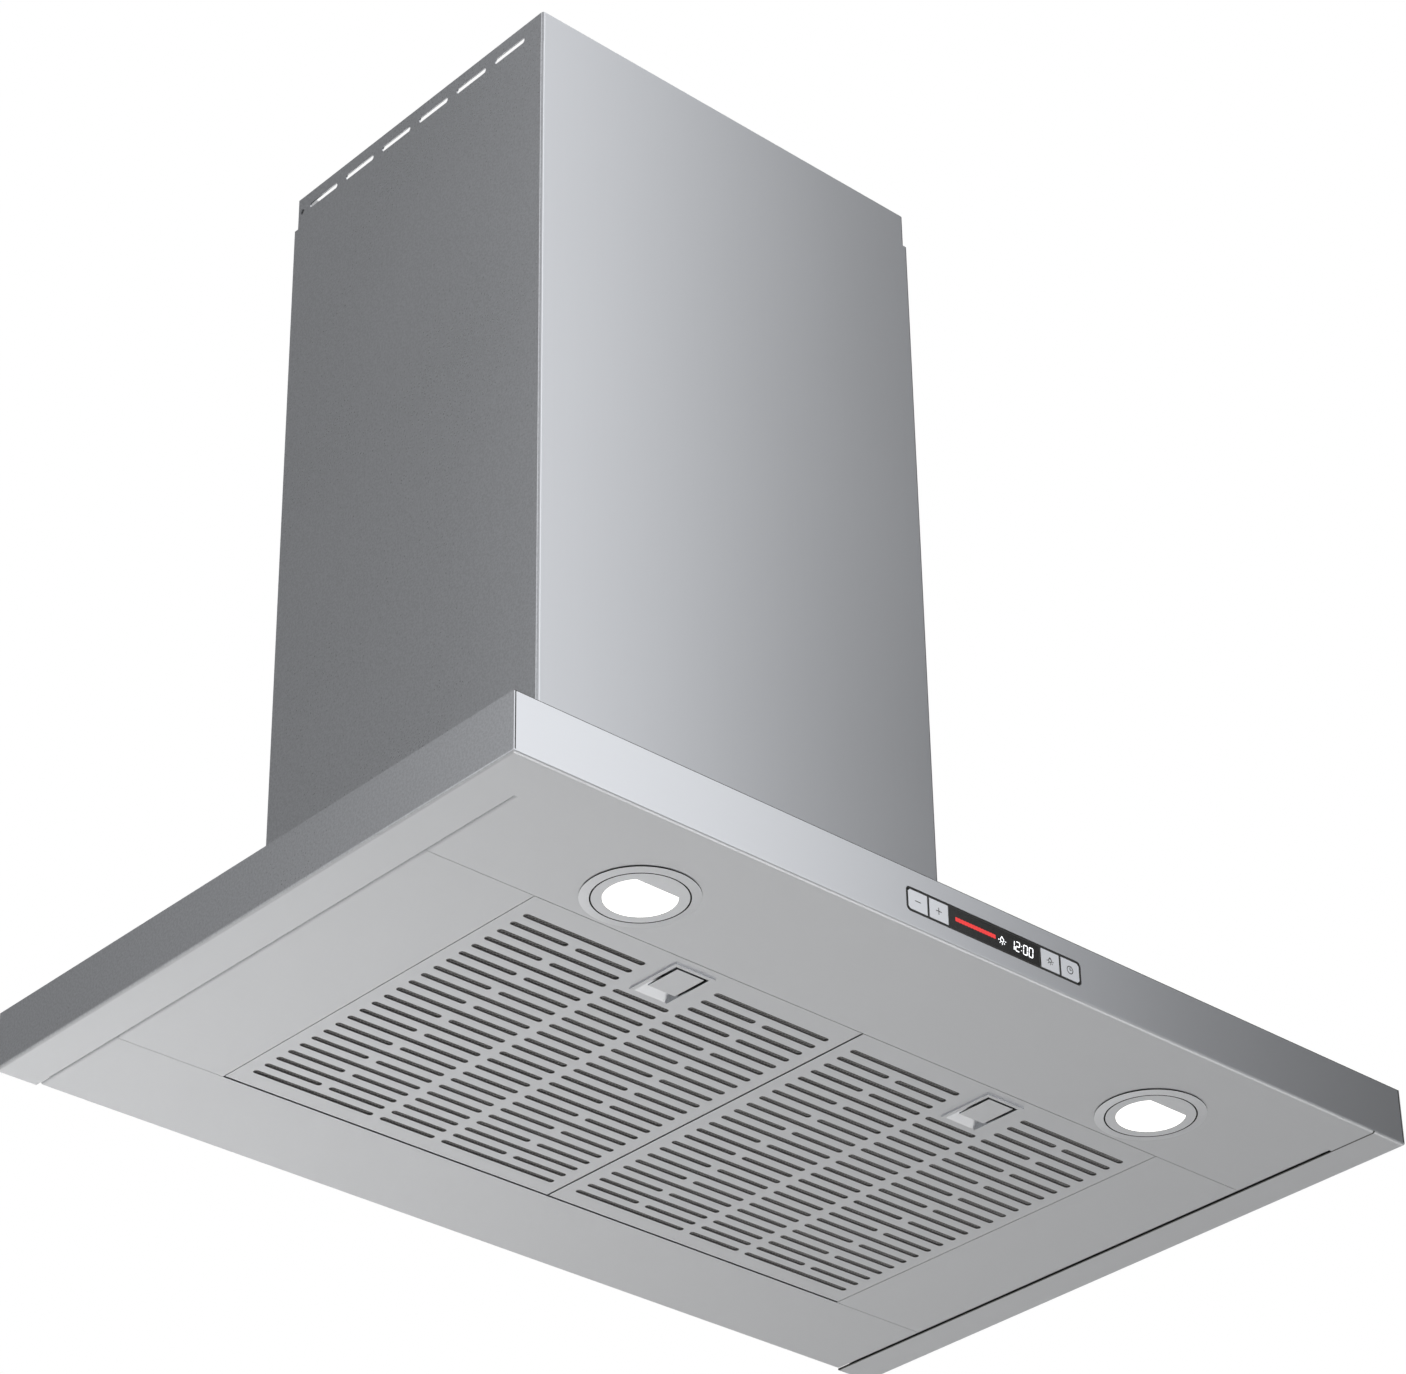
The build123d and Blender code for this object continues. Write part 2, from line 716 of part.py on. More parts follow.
def lower_chimney():
    """Lower cover, with two bent tabs inside that the upper cover comes down on."""
    height = hood_height - upper_show - canopy_height
    section = cover_section(chimney_width / 2, chimney_front, wall, chimney_return)
    cover = Pos(0, 0, canopy_height) * extrude(section, height)
    inside = chimney_width / 2 - chimney_sheet
    middle = (chimney_front + wall) / 2
    tab = block(inside - stop_tab, inside + chimney_sheet / 2, middle - stop_tab_width / 2,
                middle + stop_tab_width / 2, upper_bottom - chimney_sheet, upper_bottom)
    for add in both_sides(tab):
        cover += add
    return cover


def vent_outline(length):
    """Outline of a vent slot with bevelled corners; at its shortest it is the fixing hole."""
    return chamfer(Rectangle(length, vent_width).vertices(), vent_bevel)


def upper_chimney():
    """Upper cover, nested in the lower one, with a row of vent slots and a fixing hole in each side."""
    section = cover_section(upper_half, upper_front, upper_back, chimney_return)
    cover = Pos(0, 0, upper_bottom) * extrude(section, upper_length)
    z = hood_height - vent_below_top
    cuts = [(upper_back - fixing_hole_inset, vent_width)]
    for k in range(vent_slots):
        cuts.append((upper_back - vent_first - vent_length / 2 - k * vent_pitch, vent_length))
    for y, length in cuts:
        slot = Plane.YZ * (Pos(y, z) * vent_outline(length))
        cover -= Pos(-upper_half - 1, 0, 0) * extrude(slot, 2 * upper_half + 2)
    return cover


def chimney_bracket():
    """Wall strap for the upper cover: plate on the wall, jogs forward, and an ear along each side."""
    ear = upper_half - chimney_sheet - nest_clearance
    inner = upper_half - chimney_return - bracket_return_gap
    web = wall - bracket_jog
    ear_back = upper_back - chimney_sheet - nest_clearance
    plate = wall - bracket_sheet
    points = [(-ear, ear_back), (-ear, web), (-inner, web), (-inner, plate), (inner, plate), (inner, web),
              (ear, web), (ear, ear_back)]
    section = folded(points, bracket_sheet)
    top = hood_height - bracket_below_top
    strap = Pos(0, 0, top - bracket_height) * extrude(section, bracket_height)
    for x in (-bracket_screw_spacing / 2, bracket_screw_spacing / 2):
        strap -= through_y(bracket_screw_radius, x, top - bracket_height / 2,
                           wall - 3 * bracket_sheet, wall + 1)
    return strap


def motor_box():
    """Sheet box over the air opening; its back hangs on the wall and its top carries the collar."""
    half = box_width / 2
    body = block(-half, half, box_front, wall, canopy_height, box_top)
    body -= block(-half + box_sheet, half - box_sheet, box_front + box_sheet, wall - box_sheet,
                  0, box_top - box_sheet)
    foot = block(-half - box_flange, half + box_flange, box_front - box_flange, wall,
                 canopy_height, canopy_height + box_sheet)
    foot -= block(-half + box_sheet, half - box_sheet, box_front + box_sheet, wall - box_sheet, 0, box_top)
    body += foot
    for x in (-wall_hole_spacing / 2, wall_hole_spacing / 2):
        for z in (wall_hole_first, wall_hole_first + wall_hole_rise):
            body -= through_y(wall_hole_radius, x, canopy_height + z, wall - 2 * box_sheet, wall + 1)
    outlet = scroll_inner_width / 2
    return body - block(-outlet, outlet, scroll_point(tongue_angle)[0], scroll_point(360)[0],
                        box_top - 2 * box_sheet, box_top + 1)


def scroll_radius(angle):
    """Radius of the scroll's inner wall, growing evenly from the tongue to the outlet."""
    return scroll_start_radius + scroll_growth * (angle - tongue_angle) / (360 - tongue_angle)


def scroll_point(angle, grow=0.0):
    """Point of the scroll's wall in Y and Z."""
    radius = scroll_radius(angle) + grow
    turn = math.radians(angle)
    return scroll_y + radius * math.cos(turn), scroll_z + radius * math.sin(turn)


def scroll_outline(grow=0.0):
    """Inner outline of the scroll in Y and Z, grown outwards: the folded spiral and the outlet throat."""
    step = (360 - tongue_angle) / scroll_flats
    spiral = [scroll_point(tongue_angle + k * step, grow) for k in range(scroll_flats + 1)]
    top = box_top - box_sheet
    return make_face(Polyline(*spiral, (spiral[-1][0], top), (spiral[0][0] - grow, top), close=True))


def scroll_half(hole_radius):
    """Right half of the blower scroll: a side wall with a round hole, and half of the spiral wall."""
    inner = scroll_inner_width / 2
    outer = inner + scroll_wall
    top = box_top - box_sheet
    lip = outlet_flange + scroll_wall
    half = along_x(scroll_outline(scroll_wall), 0, outer)
    half += block(0, outer + outlet_flange, scroll_point(tongue_angle)[0] - lip, scroll_point(360)[0] + lip,
                  top - outlet_flange_sheet, top)
    half -= along_x(scroll_outline(), -1, inner)
    return half - drum(hole_radius, inner - 1, outer + 1, scroll_y, scroll_z)


def impeller():
    """Fan wheel: back disc with a hub, blades that hook forward at the rim, and a ring round the open eye."""
    bore = Circle(shaft_radius)
    disc = extrude(RegularPolygon(wheel_radius, blade_count) - bore, wheel_disc)
    hub = extrude(RegularPolygon(hub_radius, 8) - bore, hub_length)
    ring = RegularPolygon(wheel_radius, blade_count) - RegularPolygon(blade_inner_radius, blade_count)
    ring = Pos(0, 0, wheel_width - wheel_ring) * extrude(ring, wheel_ring)
    inner = blade_inner_radius + blade_edge
    bend = (blade_inner_radius + wheel_radius) / 2
    outer = wheel_radius - 2 * blade_edge
    section = [(inner, 0), (bend, blade_hook / 4), (outer, blade_hook), (outer - blade_sheet, blade_hook),
               (bend - blade_sheet / 2, blade_hook / 4 + blade_sheet), (inner, blade_sheet)]
    blade = extrude(make_face(Polyline(*section, close=True)), wheel_width - wheel_ring / 2)
    blades = [Rot(0, 0, k * 360 / blade_count) * blade for k in range(blade_count)]
    wheel = disc + hub + ring + blades
    return Pos(-wheel_width / 2, scroll_y, scroll_z) * (Rot(0, 90, 0) * wheel)


def motor_face():
    """Left outer wall of the scroll, which the motor is screwed to."""
    return -scroll_inner_width / 2 - scroll_wall


def motor_shaft():
    """Motor shaft from inside the motor to the far face of the hub."""
    return drum(shaft_radius, motor_face() - shaft_seat, -wheel_width / 2 + hub_length, scroll_y, scroll_z)


def motor():
    """Motor can on the scroll's left wall, bored for its shaft."""
    face = motor_face()
    section = Pos(scroll_y, scroll_z) * RegularPolygon(motor_radius, motor_sides)
    can = along_x(section, face - motor_length, face)
    return can - drum(shaft_radius + shaft_play, face - shaft_seat - 1, face + 1, scroll_y, scroll_z)


def run_capacitor():
    """Motor capacitor on top of the box."""
    x = collar_flange_half + terminal_gap
    y = wall - box_sheet - terminal_gap
    return block(x, x + capacitor_width, y - capacitor_depth, y, box_top, box_top + capacitor_height)


def duct_collar():
    """Round outlet spigot on a square flange, with bearing pockets for the damper flaps in its wall."""
    inner = collar_radius - collar_wall
    tube = extrude(Rectangle(2 * collar_flange_half, 2 * collar_flange_half), collar_flange)
    tube += extrude(Circle(collar_radius), collar_height)
    tube -= extrude(Circle(inner), collar_height)
    tube = Pos(0, collar_y, box_top) * tube
    half = damper_bar_radius + damper_bar_fit
    reach = damper_reach() + damper_bar_fit
    for y in (collar_y - damper_offset, collar_y + damper_offset):
        tube -= block(-reach, reach, y - half, y + half, damper_z - half, damper_z + half)
    return tube


def damper_reach():
    """Half length of a flap's bar, which ends in the collar's wall."""
    inner = collar_radius - collar_wall
    return math.sqrt(inner ** 2 - damper_offset ** 2) + damper_pocket_depth


def damper_flap():
    """Rear damper flap: a plate in the shape of a disc segment, with a round bar along its straight edge."""
    radius = collar_radius - collar_wall - flap_edge_gap
    y = collar_y + damper_offset
    low = box_top + flap_seat_gap
    front_side = Pos(0, -radius + damper_offset) * Rectangle(2 * radius, 2 * radius)
    segment = RegularPolygon(radius, flap_sides) - front_side
    plate = Pos(0, collar_y, low) * extrude(segment, flap_sheet)
    return plate + flatted_bar(damper_bar_radius, -damper_reach(), damper_reach(), y, damper_z)


def terminal_corner():
    """Left front corner of the terminal box on top of the motor box."""
    x = -collar_flange_half - terminal_gap - terminal_width
    return x, wall - box_sheet - terminal_gap - terminal_depth


def terminal_box():
    """Mains terminal box, open at the front."""
    x, y = terminal_corner()
    shell = block(x, x + terminal_width, y, y + terminal_depth, box_top, box_top + terminal_height)
    shell -= block(x + terminal_wall, x + terminal_width - terminal_wall, y - 1,
                   y + terminal_depth - terminal_wall, box_top + terminal_wall,
                   box_top + terminal_height - terminal_wall)
    knockout = Box(gland_knockout, gland_knockout, 4 * terminal_wall)
    return shell - Pos(x + terminal_width / 2, y + terminal_depth / 2, box_top + terminal_height) * knockout


def terminal_cover():
    """Lid on the front of the terminal box."""
    x, y = terminal_corner()
    lid = block(x, x + terminal_width, y - terminal_wall, y, box_top, box_top + terminal_height)
    return chamfer(lid.edges().group_by(Axis.Y)[0], terminal_wall / 2)


def cable_gland():
    """Hexagonal gland on top of the terminal box, with the cable bore."""
    x, y = terminal_corner()
    gland = extrude(RegularPolygon(gland_radius, 6) - Circle(gland_bore_radius), gland_height)
    gland = chamfer(gland.edges().group_by(Axis.Z)[-1].filter_by(GeomType.LINE), gland_bevel)
    return Pos(x + terminal_width / 2, y + terminal_depth / 2, box_top + terminal_height) * gland


def hex_head():
    """Hexagon screw head with its underside at the origin."""
    return extrude(RegularPolygon(screw_head_radius, 6), screw_head_height)


def box_screws():
    """Screws that hold the motor box's foot to the canopy's top plate."""
    x = box_width / 2 + box_flange / 2
    z = canopy_height + box_sheet
    rows = [box_front + share * (wall - box_front) for share in (0.25, 0.75)]
    spots = [(side * x, y) for side in (-1, 1) for y in rows]
    spots += [(side * x / 2, box_front - box_flange / 2) for side in (-1, 1)]
    return [Pos(sx, sy, z) * hex_head() for sx, sy in spots]


def collar_screws():
    """Screws in the corners of the collar's flange."""
    reach = 2 * collar_flange_half - 2 * screw_head_radius - collar_flange
    z = box_top + collar_flange
    return [Pos(0, collar_y, z) * (place * hex_head()) for place in GridLocations(reach, reach, 2, 2)]


def save(name, piece):
    """Writes one node, raised so that the lamps' faces are at Z = 0; a list of solids becomes one group."""
    raised = [Pos(0, 0, lamp_drop) * solid for solid in (piece if isinstance(piece, list) else [piece])]
    shape = raised[0] if len(raised) == 1 else Compound(children=raised)
    export_step(shape, f"parts/{name}.step")


def mirrored(piece):
    """Left-hand copy of a right-hand piece."""
    return mirror(piece, Plane.YZ)


def main():
    os.makedirs("parts", exist_ok=True)
    for make in (canopy_shell, canopy_top, canopy_back, rear_panel, filter_hanger, control_bezel,
                 display_window, display_module, control_board, tact_switches, led_driver,
                 lower_chimney, upper_chimney, chimney_bracket, motor_box, impeller, motor_shaft, motor,
                 run_capacitor, duct_collar, terminal_box, terminal_cover, cable_gland, box_screws,
                 collar_screws):
        save(make.__name__, make())
    for make in (side_panel, filter_face, filter_mesh, filter_back, latch_housing, latch_slider):
        right = make()
        save(f"right_{make.__name__}", right)
        save(f"left_{make.__name__}", mirrored(right))
    save("right_scroll", scroll_half(blade_inner_radius + inlet_margin))
    save("left_scroll", mirrored(scroll_half(shaft_hole_radius)))
    save("light_lenses", lamp_pair(light_lens()))
    save("light_bodies", lamp_pair(light_body()))
    names = ("minus_button", "plus_button", "light_button", "timer_button")
    for name, centre in zip(names, control_layout()[0]):
        save(name, push_button(centre))
    rear_flap = damper_flap()
    save("rear_flap", rear_flap)
    save("front_flap", mirror(rear_flap, Plane.XZ.offset(-collar_y)))


main()
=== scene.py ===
# %% [markdown]
# # A wall chimney range hood
# The hood hangs on a kitchen wall: a flat steel canopy with two slotted grease filters, two lamps
# and a strip of buttons, and a chimney of two nested covers above it. The solids come from the
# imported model, so this lesson adds finishes, fine surface pieces, light and a camera. Lengths
# below are in millimetres unless a name says otherwise.

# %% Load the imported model
import json
import math

import bpy
import numpy as np
from mathutils import Matrix, Vector


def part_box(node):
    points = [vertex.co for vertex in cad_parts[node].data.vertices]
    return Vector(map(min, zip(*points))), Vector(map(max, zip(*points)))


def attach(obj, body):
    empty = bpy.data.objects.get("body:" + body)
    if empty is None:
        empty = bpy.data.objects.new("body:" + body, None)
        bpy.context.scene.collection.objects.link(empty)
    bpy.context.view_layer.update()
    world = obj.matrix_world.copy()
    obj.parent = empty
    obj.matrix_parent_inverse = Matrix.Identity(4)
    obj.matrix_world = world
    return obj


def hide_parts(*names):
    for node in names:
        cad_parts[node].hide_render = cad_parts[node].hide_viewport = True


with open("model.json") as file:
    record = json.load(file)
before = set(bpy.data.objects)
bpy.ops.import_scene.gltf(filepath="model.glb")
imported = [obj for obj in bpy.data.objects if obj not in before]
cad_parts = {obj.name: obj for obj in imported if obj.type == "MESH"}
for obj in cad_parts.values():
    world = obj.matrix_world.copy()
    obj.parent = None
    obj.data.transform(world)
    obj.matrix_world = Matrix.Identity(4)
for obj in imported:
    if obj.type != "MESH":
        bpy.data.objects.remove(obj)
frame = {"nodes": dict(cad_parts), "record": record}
nodes = frame["nodes"]
slot_of = {part["node"]: part["material_slot"] for part in frame["record"]["subparts"]}
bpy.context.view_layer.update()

# %% [markdown]
# ## From arrays to meshes
# Every new piece is worked out as whole arrays: a grid of points whose two directions are the
# surface's two parameters. A mesh could also be edited by hand or drawn with operators, but a grid
# shows the formula. The collector below takes grids and flat outlines and puts them into one mesh.

# %% A collector of grids
MM = 0.001


class Shape:
    """Collects grids of points in millimetres, and the faces between neighbours."""

    def __init__(self):
        self.points = []
        self.faces = []
        self.count = 0

    def grid(self, points, ring=False, tube=False):
        """Quads between neighbours i, j of points[..., i, j]; earlier axes repeat.

        ring closes j, and tube closes i.
        """
        rows, columns = points.shape[-3:-1]
        sheets = points.reshape(-1, rows * columns, 3)
        steps = np.arange(rows - (not tube)), np.arange(columns - (not ring))
        i, j = np.meshgrid(*steps, indexing="ij")
        down = (i + 1) % rows
        right = (j + 1) % columns
        corners = ((i, j), (i, right), (down, right), (down, j))
        quads = np.stack([row * columns + column for row, column in corners], -1)
        starts = self.count + rows * columns * np.arange(len(sheets))
        self.faces += (starts[:, None, None] + quads.reshape(-1, 4)).reshape(-1, 4).tolist()
        self.points.append(sheets.reshape(-1, 3))
        self.count += sheets.shape[0] * sheets.shape[1]

    def plate(self, outlines, depth):
        """Closed flat pieces: outlines that turn left seen from the front, carried along depth."""
        loops = np.asarray(outlines, float)
        loops = loops.reshape(-1, *loops.shape[-2:])
        pieces, length = loops.shape[:2]
        back = self.count + 2 * length * np.arange(pieces)[:, None] + np.arange(length)
        self.grid(np.stack([loops + depth, loops], 1), ring=True)
        self.faces += (back + length).tolist() + back[:, ::-1].tolist()

    def tubes(self, points):
        """Closed tubes: points[k, i, j] is point i, turning clockwise, at step j along tube k."""
        count, sides, steps = points.shape[:3]
        ends = self.count + sides * steps * np.arange(count)[:, None] + steps * np.arange(sides)
        self.grid(points, tube=True)
        self.faces += ends.tolist() + (ends + steps - 1)[:, ::-1].tolist()

    def make(self, name, material, body, smooth=False):
        """The mesh object, riding on a body of the model."""
        mesh = bpy.data.meshes.new(name)
        mesh.from_pydata((np.concatenate(self.points) * MM).tolist(), [], self.faces)
        mesh.polygons.foreach_set("use_smooth", np.full(len(mesh.polygons), smooth))
        mesh.materials.append(material)
        piece = bpy.data.objects.new(name, mesh)
        bpy.context.scene.collection.objects.link(piece)
        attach(piece, body)
        print(name, len(mesh.polygons), "faces")
        return piece


def box_of(node):
    """Lowest and highest corner of a solid, in millimetres."""
    low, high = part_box(node)
    return np.array(low) * 1000, np.array(high) * 1000


# %% [markdown]
# ## Shader sums as Python
# A finish is a small formula of the surface's own coordinates. Node trees could be wired one link
# at a time, but then the formula is lost among the links. Here a wire is a socket that can be
# added and multiplied, and each sum adds its Math node.

# %% A wire that does sums


class Wire:
    """An output socket of a node tree; sums on it add Math nodes."""

    def __init__(self, tree, socket=None):
        self.tree = tree
        self.socket = socket

    def add(self, kind, settings, sockets, output=0):
        """Adds a node of a type: its settings first, then a value or a link for each socket."""
        node = self.tree.nodes.new(kind)
        for key, value in settings.items():
            setattr(node, key, value)
        for key, value in sockets.items():
            if isinstance(value, Wire):
                self.tree.links.new(value.socket, node.inputs[key])
            else:
                node.inputs[key].default_value = value
        return Wire(self.tree, node.outputs[output])

    def math(self, operation, a, b=0.0):
        return self.add("ShaderNodeMath", {"operation": operation}, {0: a, 1: b})

    def __add__(self, other):
        return self.math("ADD", self, other)

    def __sub__(self, other):
        return self.math("SUBTRACT", self, other)

    def __rsub__(self, other):
        return self.math("SUBTRACT", other, self)

    def __mul__(self, other):
        return self.math("MULTIPLY", self, other)

    def __gt__(self, other):
        return self.math("GREATER_THAN", self, other)

    def __lt__(self, other):
        return self.math("LESS_THAN", self, other)

    def __abs__(self):
        return self.math("ABSOLUTE", self)

    __radd__ = __add__
    __rmul__ = __mul__

    def split(self):
        """The x, y and z of a vector wire."""
        parts = self.add("ShaderNodeSeparateXYZ", {}, {"Vector": self}).socket.node
        return [Wire(self.tree, output) for output in parts.outputs]

    def facing(self):
        """How far the surface at this wire's place looks along x, y and z, without sign."""
        normal = self.add("ShaderNodeNewGeometry", {}, {}, "Normal")
        return [abs(part) for part in normal.split()]

    def mixed(self, low, high):
        """The colour low where the wire is 0 and high where it is 1."""
        return self.add("ShaderNodeMix", {"data_type": "RGBA"}, {0: self, 6: low, 7: high}, 2)

    def noise(self, stretch, detail=2.0, roughness=0.5):
        """Noise at this many cycles a metre along x, y and z."""
        spread = self.add("ShaderNodeMapping", {}, {"Vector": self, "Scale": stretch})
        sockets = {"Vector": spread, "Scale": 1.0, "Detail": detail, "Roughness": roughness}
        return self.add("ShaderNodeTexNoise", {}, sockets)

    def contrast(self, factor):
        """The wire with its distance from one half multiplied."""
        return self * factor + (1 - factor) / 2

    def bump(self, strength, distance):
        """A Normal from the wire as a height."""
        sockets = {"Strength": strength, "Distance": distance, "Height": self}
        return self.add("ShaderNodeBump", {}, sockets)


def start_material(name):
    """A new material: itself, a function that feeds its shader, and its object coordinates."""
    material = bpy.data.materials.new(name)
    material.use_nodes = True
    tree = material.node_tree
    shader = tree.nodes["Principled BSDF"]

    def feed(**inputs):
        for key, value in inputs.items():
            socket = shader.inputs[key.replace("_", " ")]
            if isinstance(value, Wire):
                tree.links.new(value.socket, socket)
            else:
                socket.default_value = value

    return material, feed, Wire(tree).add("ShaderNodeTexCoord", {}, {}, "Object")


def grey(level, tint=0.0):
    """A grey of this linear level, a little blue where tint is above 0."""
    return (level * (1 - tint / 2), level, level * (1 + tint), 1.0)


print("shader wires ready")

# %% [markdown]
# ## Brushed stainless steel
# The sheets are stainless steel, ground with a fine belt: faint lines run along each sheet, and
# sheets that face sideways show the cut across them as speckle. A photo texture could do this, but
# a stretched noise stays sharp at any distance. The lines change the colour by less than a percent
# and the speckle by a few percent, and a broad noise in the gloss stands for handling marks.

# %% Brushed steel
SQUARE_ON = 0.7
LINE_CONTRAST = 0.1
SPECKLE_CONTRAST = 5.0
MARK_TONE = 0.07
MARK_GLOSS = 0.01
HANDLING_GLOSS = 0.03
STEEL_TINT = 0.05
GRAIN_BUMP = (0.0004, 0.0002)
ALONG_X = (8.0, 900.0, 900.0)
ALONG_Z = (900.0, 900.0, 8.0)
SPECKLE = (600.0, 600.0, 600.0)
HANDLING = (5.0, 5.0, 5.0)


def brushed_steel(name, lines, level=0.62, gloss=0.285, cut=None, shade_level=0.02):
    """Steel with grinding lines at this many cycles a metre along x, y and z; cut masks painted
    shade.

    The roughness is kept above 0.274: below that the denoiser follows the mirror image instead of
    the sheet, and leaves patches of noise where the two ways meet.
    """
    material, feed, place = start_material(name)
    grain = place.noise(lines, 2.0, 0.5).contrast(LINE_CONTRAST)
    speckle = place.noise(SPECKLE, 2.0, 0.7).contrast(SPECKLE_CONTRAST)
    mark = grain + (place.facing()[0] > SQUARE_ON) * (speckle - grain)
    handling = place.noise(HANDLING, 2.0)
    low, high = (grey(level * (1 + tone), STEEL_TINT) for tone in (-MARK_TONE, MARK_TONE))
    colour = mark.mixed(low, high)
    shine = 1.0
    # Where cut is 1, shade is painted: the colour turns to a dark grey and the metal goes.
    if cut:
        edge = cut(place)
        colour = edge.mixed(colour, grey(shade_level))
        shine = 1.0 - edge
    least = gloss - (MARK_GLOSS + HANDLING_GLOSS) / 2
    feed(Base_Color=colour, Metallic=shine, Normal=mark.bump(*GRAIN_BUMP),
         Roughness=least + mark * MARK_GLOSS + handling * HANDLING_GLOSS)
    return material


print("brushed steel ready")

# %% Steel of the canopy and the chimney
UNDERSIDE = box_of("canopy_shell")[0][2]
TOP_EDGE = box_of("canopy_shell")[1][2]
FLANGE_WIDTH = 30.4
FLANGE_EDGE = box_of("canopy_shell")[1][0] - FLANGE_WIDTH
# Painted shade: a dark strip at the right flange's edge by the slit, and a line along the fascia's
# top.
SLIT_SHADE_MIDDLE, SLIT_SHADE_HALF, SLIT_SHADE_HEIGHT = 0.3, 0.7, 1.3
TOP_SHADE_HEIGHT = 0.4


def shaded_edges(place):
    """1 where shade is painted: the right flange's edge at the slit, and a line along the fascia's
    top.
    """
    x, _, z = place.split()
    slit_shade = abs(x - (FLANGE_EDGE + SLIT_SHADE_MIDDLE) * MM) < SLIT_SHADE_HALF * MM
    low = z < (UNDERSIDE + SLIT_SHADE_HEIGHT) * MM
    top_shade = (place.facing()[1] > SQUARE_ON) * (z > (TOP_EDGE - TOP_SHADE_HEIGHT) * MM)
    return place.math("MAXIMUM", slit_shade * low, top_shade)


canopy_steel = brushed_steel("canopy_steel", ALONG_X, cut=shaded_edges)
chimney_steel = brushed_steel("chimney_steel", ALONG_Z, 0.575)
latch_steel = brushed_steel("latch_steel", ALONG_X, 0.64, 0.3)
print("steel finishes made")

# %% [markdown]
# ## The other finishes
# Inside are zinc-coated sheet with its crystal flakes, bare aluminium, moulded plastics with a
# faint eroded grain, a painted motor, a green circuit board and a smoked window. Each is one short
# formula, so each gets a function.

# %% Zinc, aluminium, screws and lamps
LAMP_X = 216.0
LAMP_Y = sum(box_of("light_bodies"))[1] / 2
GROOVE_RADIUS, GROOVE_HALF = 29.4, 0.7
GROOVE_SHADE = 0.05
UPRIGHT = 0.3


def zinc_sheet():
    """Zinc-coated steel: flat flakes of different greys, as a cell pattern of random levels."""
    material, feed, place = start_material("zinc_sheet")
    flake = place.add("ShaderNodeTexVoronoi", {}, {"Vector": place, "Scale": 130.0}, "Color")
    level = place.add("ShaderNodeSeparateColor", {}, {"Color": flake}, "Red")
    dust = place.noise((9.0, 9.0, 9.0), 3.0)
    feed(Base_Color=level.mixed(grey(0.46, 0.02), grey(0.60, 0.02)), Metallic=0.9,
         Roughness=0.38 + level * 0.12 + dust * 0.08, Normal=level.bump(0.08, 0.0002))
    return material


def bare_metal(name, level, gloss, cycles):
    """Rolled or turned metal: fine scratches of one size all over."""
    material, feed, place = start_material(name)
    scratch = place.noise(cycles, 3.0, 0.65)
    feed(Base_Color=scratch.mixed(grey(level * 0.88, 0.01), grey(level * 1.08, 0.01)), Metallic=1.0,
         Roughness=gloss + scratch * 0.1, Normal=scratch.bump(0.08, 0.0002))
    return material


def lamp_metal():
    """Satin lamp casting: painted shade in its face's groove and on the upright walls under its
    rim.
    """
    material, feed, place = start_material("lamp_metal")
    x, y, z = place.split()
    across = abs(x) - LAMP_X * MM
    along = y - LAMP_Y * MM
    reach = place.math("SQRT", across * across + along * along)
    # Painted shade: black in the groove's deeper part, and on every upright wall of the casting.
    groove = (abs(reach - GROOVE_RADIUS * MM) < GROOVE_HALF * MM) * (z > GROOVE_SHADE * MM)
    rim_wall_shade = place.facing()[2] < UPRIGHT
    scratch = place.noise((250.0, 250.0, 250.0), 1.0)
    satin = scratch.mixed(grey(0.69, 0.05), grey(0.72, 0.05))
    feed(Base_Color=place.math("MAXIMUM", groove, rim_wall_shade).mixed(satin, grey(0.03)), Metallic=1.0,
         Roughness=0.275 + scratch * 0.03, Normal=scratch.bump(0.002, 0.0002))
    return material


def moulded_plastic(name, level, gloss, tint=0.0):
    """Plastic from a spark-eroded mould: a fine even grain in height, and slightly uneven gloss."""
    material, feed, place = start_material(name)
    erosion = place.noise((1500.0, 1500.0, 1500.0), 1.0)
    cloud = place.noise((25.0, 25.0, 25.0), 2.0)
    feed(Base_Color=cloud.mixed(grey(level * 0.9, tint), grey(level * 1.1, tint)),
         Roughness=gloss + cloud * 0.08, Normal=erosion.bump(0.1, 0.0001))
    return material


def painted_metal():
    """Black stove paint with a light orange-peel surface."""
    material, feed, place = start_material("motor_paint")
    peel = place.noise((260.0, 260.0, 260.0), 1.0)
    feed(Base_Color=peel.mixed(grey(0.018), grey(0.03)), Roughness=0.36 + peel * 0.08,
         Coat_Weight=0.2, Normal=peel.bump(0.15, 0.0003))
    return material


def circuit_board():
    """Green lacquer over copper tracks, seen as slightly lighter lines."""
    material, feed, place = start_material("circuit_board")
    track = place.noise((220.0, 8.0, 220.0), 0.0)
    lines = abs(track - 0.5) * 8.0
    feed(Base_Color=lines.mixed((0.03, 0.20, 0.07, 1.0), (0.012, 0.10, 0.03, 1.0)),
         Roughness=0.3 + track * 0.1)
    return material


def smoked_window():
    """Dark glossy window over the display, with a trace of dust."""
    material, feed, place = start_material("smoked_window")
    dust = place.noise((900.0, 900.0, 900.0), 2.0)
    feed(Base_Color=dust.mixed(grey(0.012), grey(0.022)), Roughness=0.12 + dust * 0.1)
    return material


def glowing(name, colour, strength):
    """A lit surface: a plain colour that also shines, a little uneven as a diffuser is."""
    material, feed, place = start_material(name)
    cloud = place.noise((60.0, 60.0, 60.0), 1.0)
    dim = tuple(0.93 * c for c in colour[:3]) + (1.0,)
    glow = cloud.mixed(dim, colour)
    feed(Base_Color=glow, Emission_Color=glow, Emission_Strength=strength, Roughness=0.5)
    return material


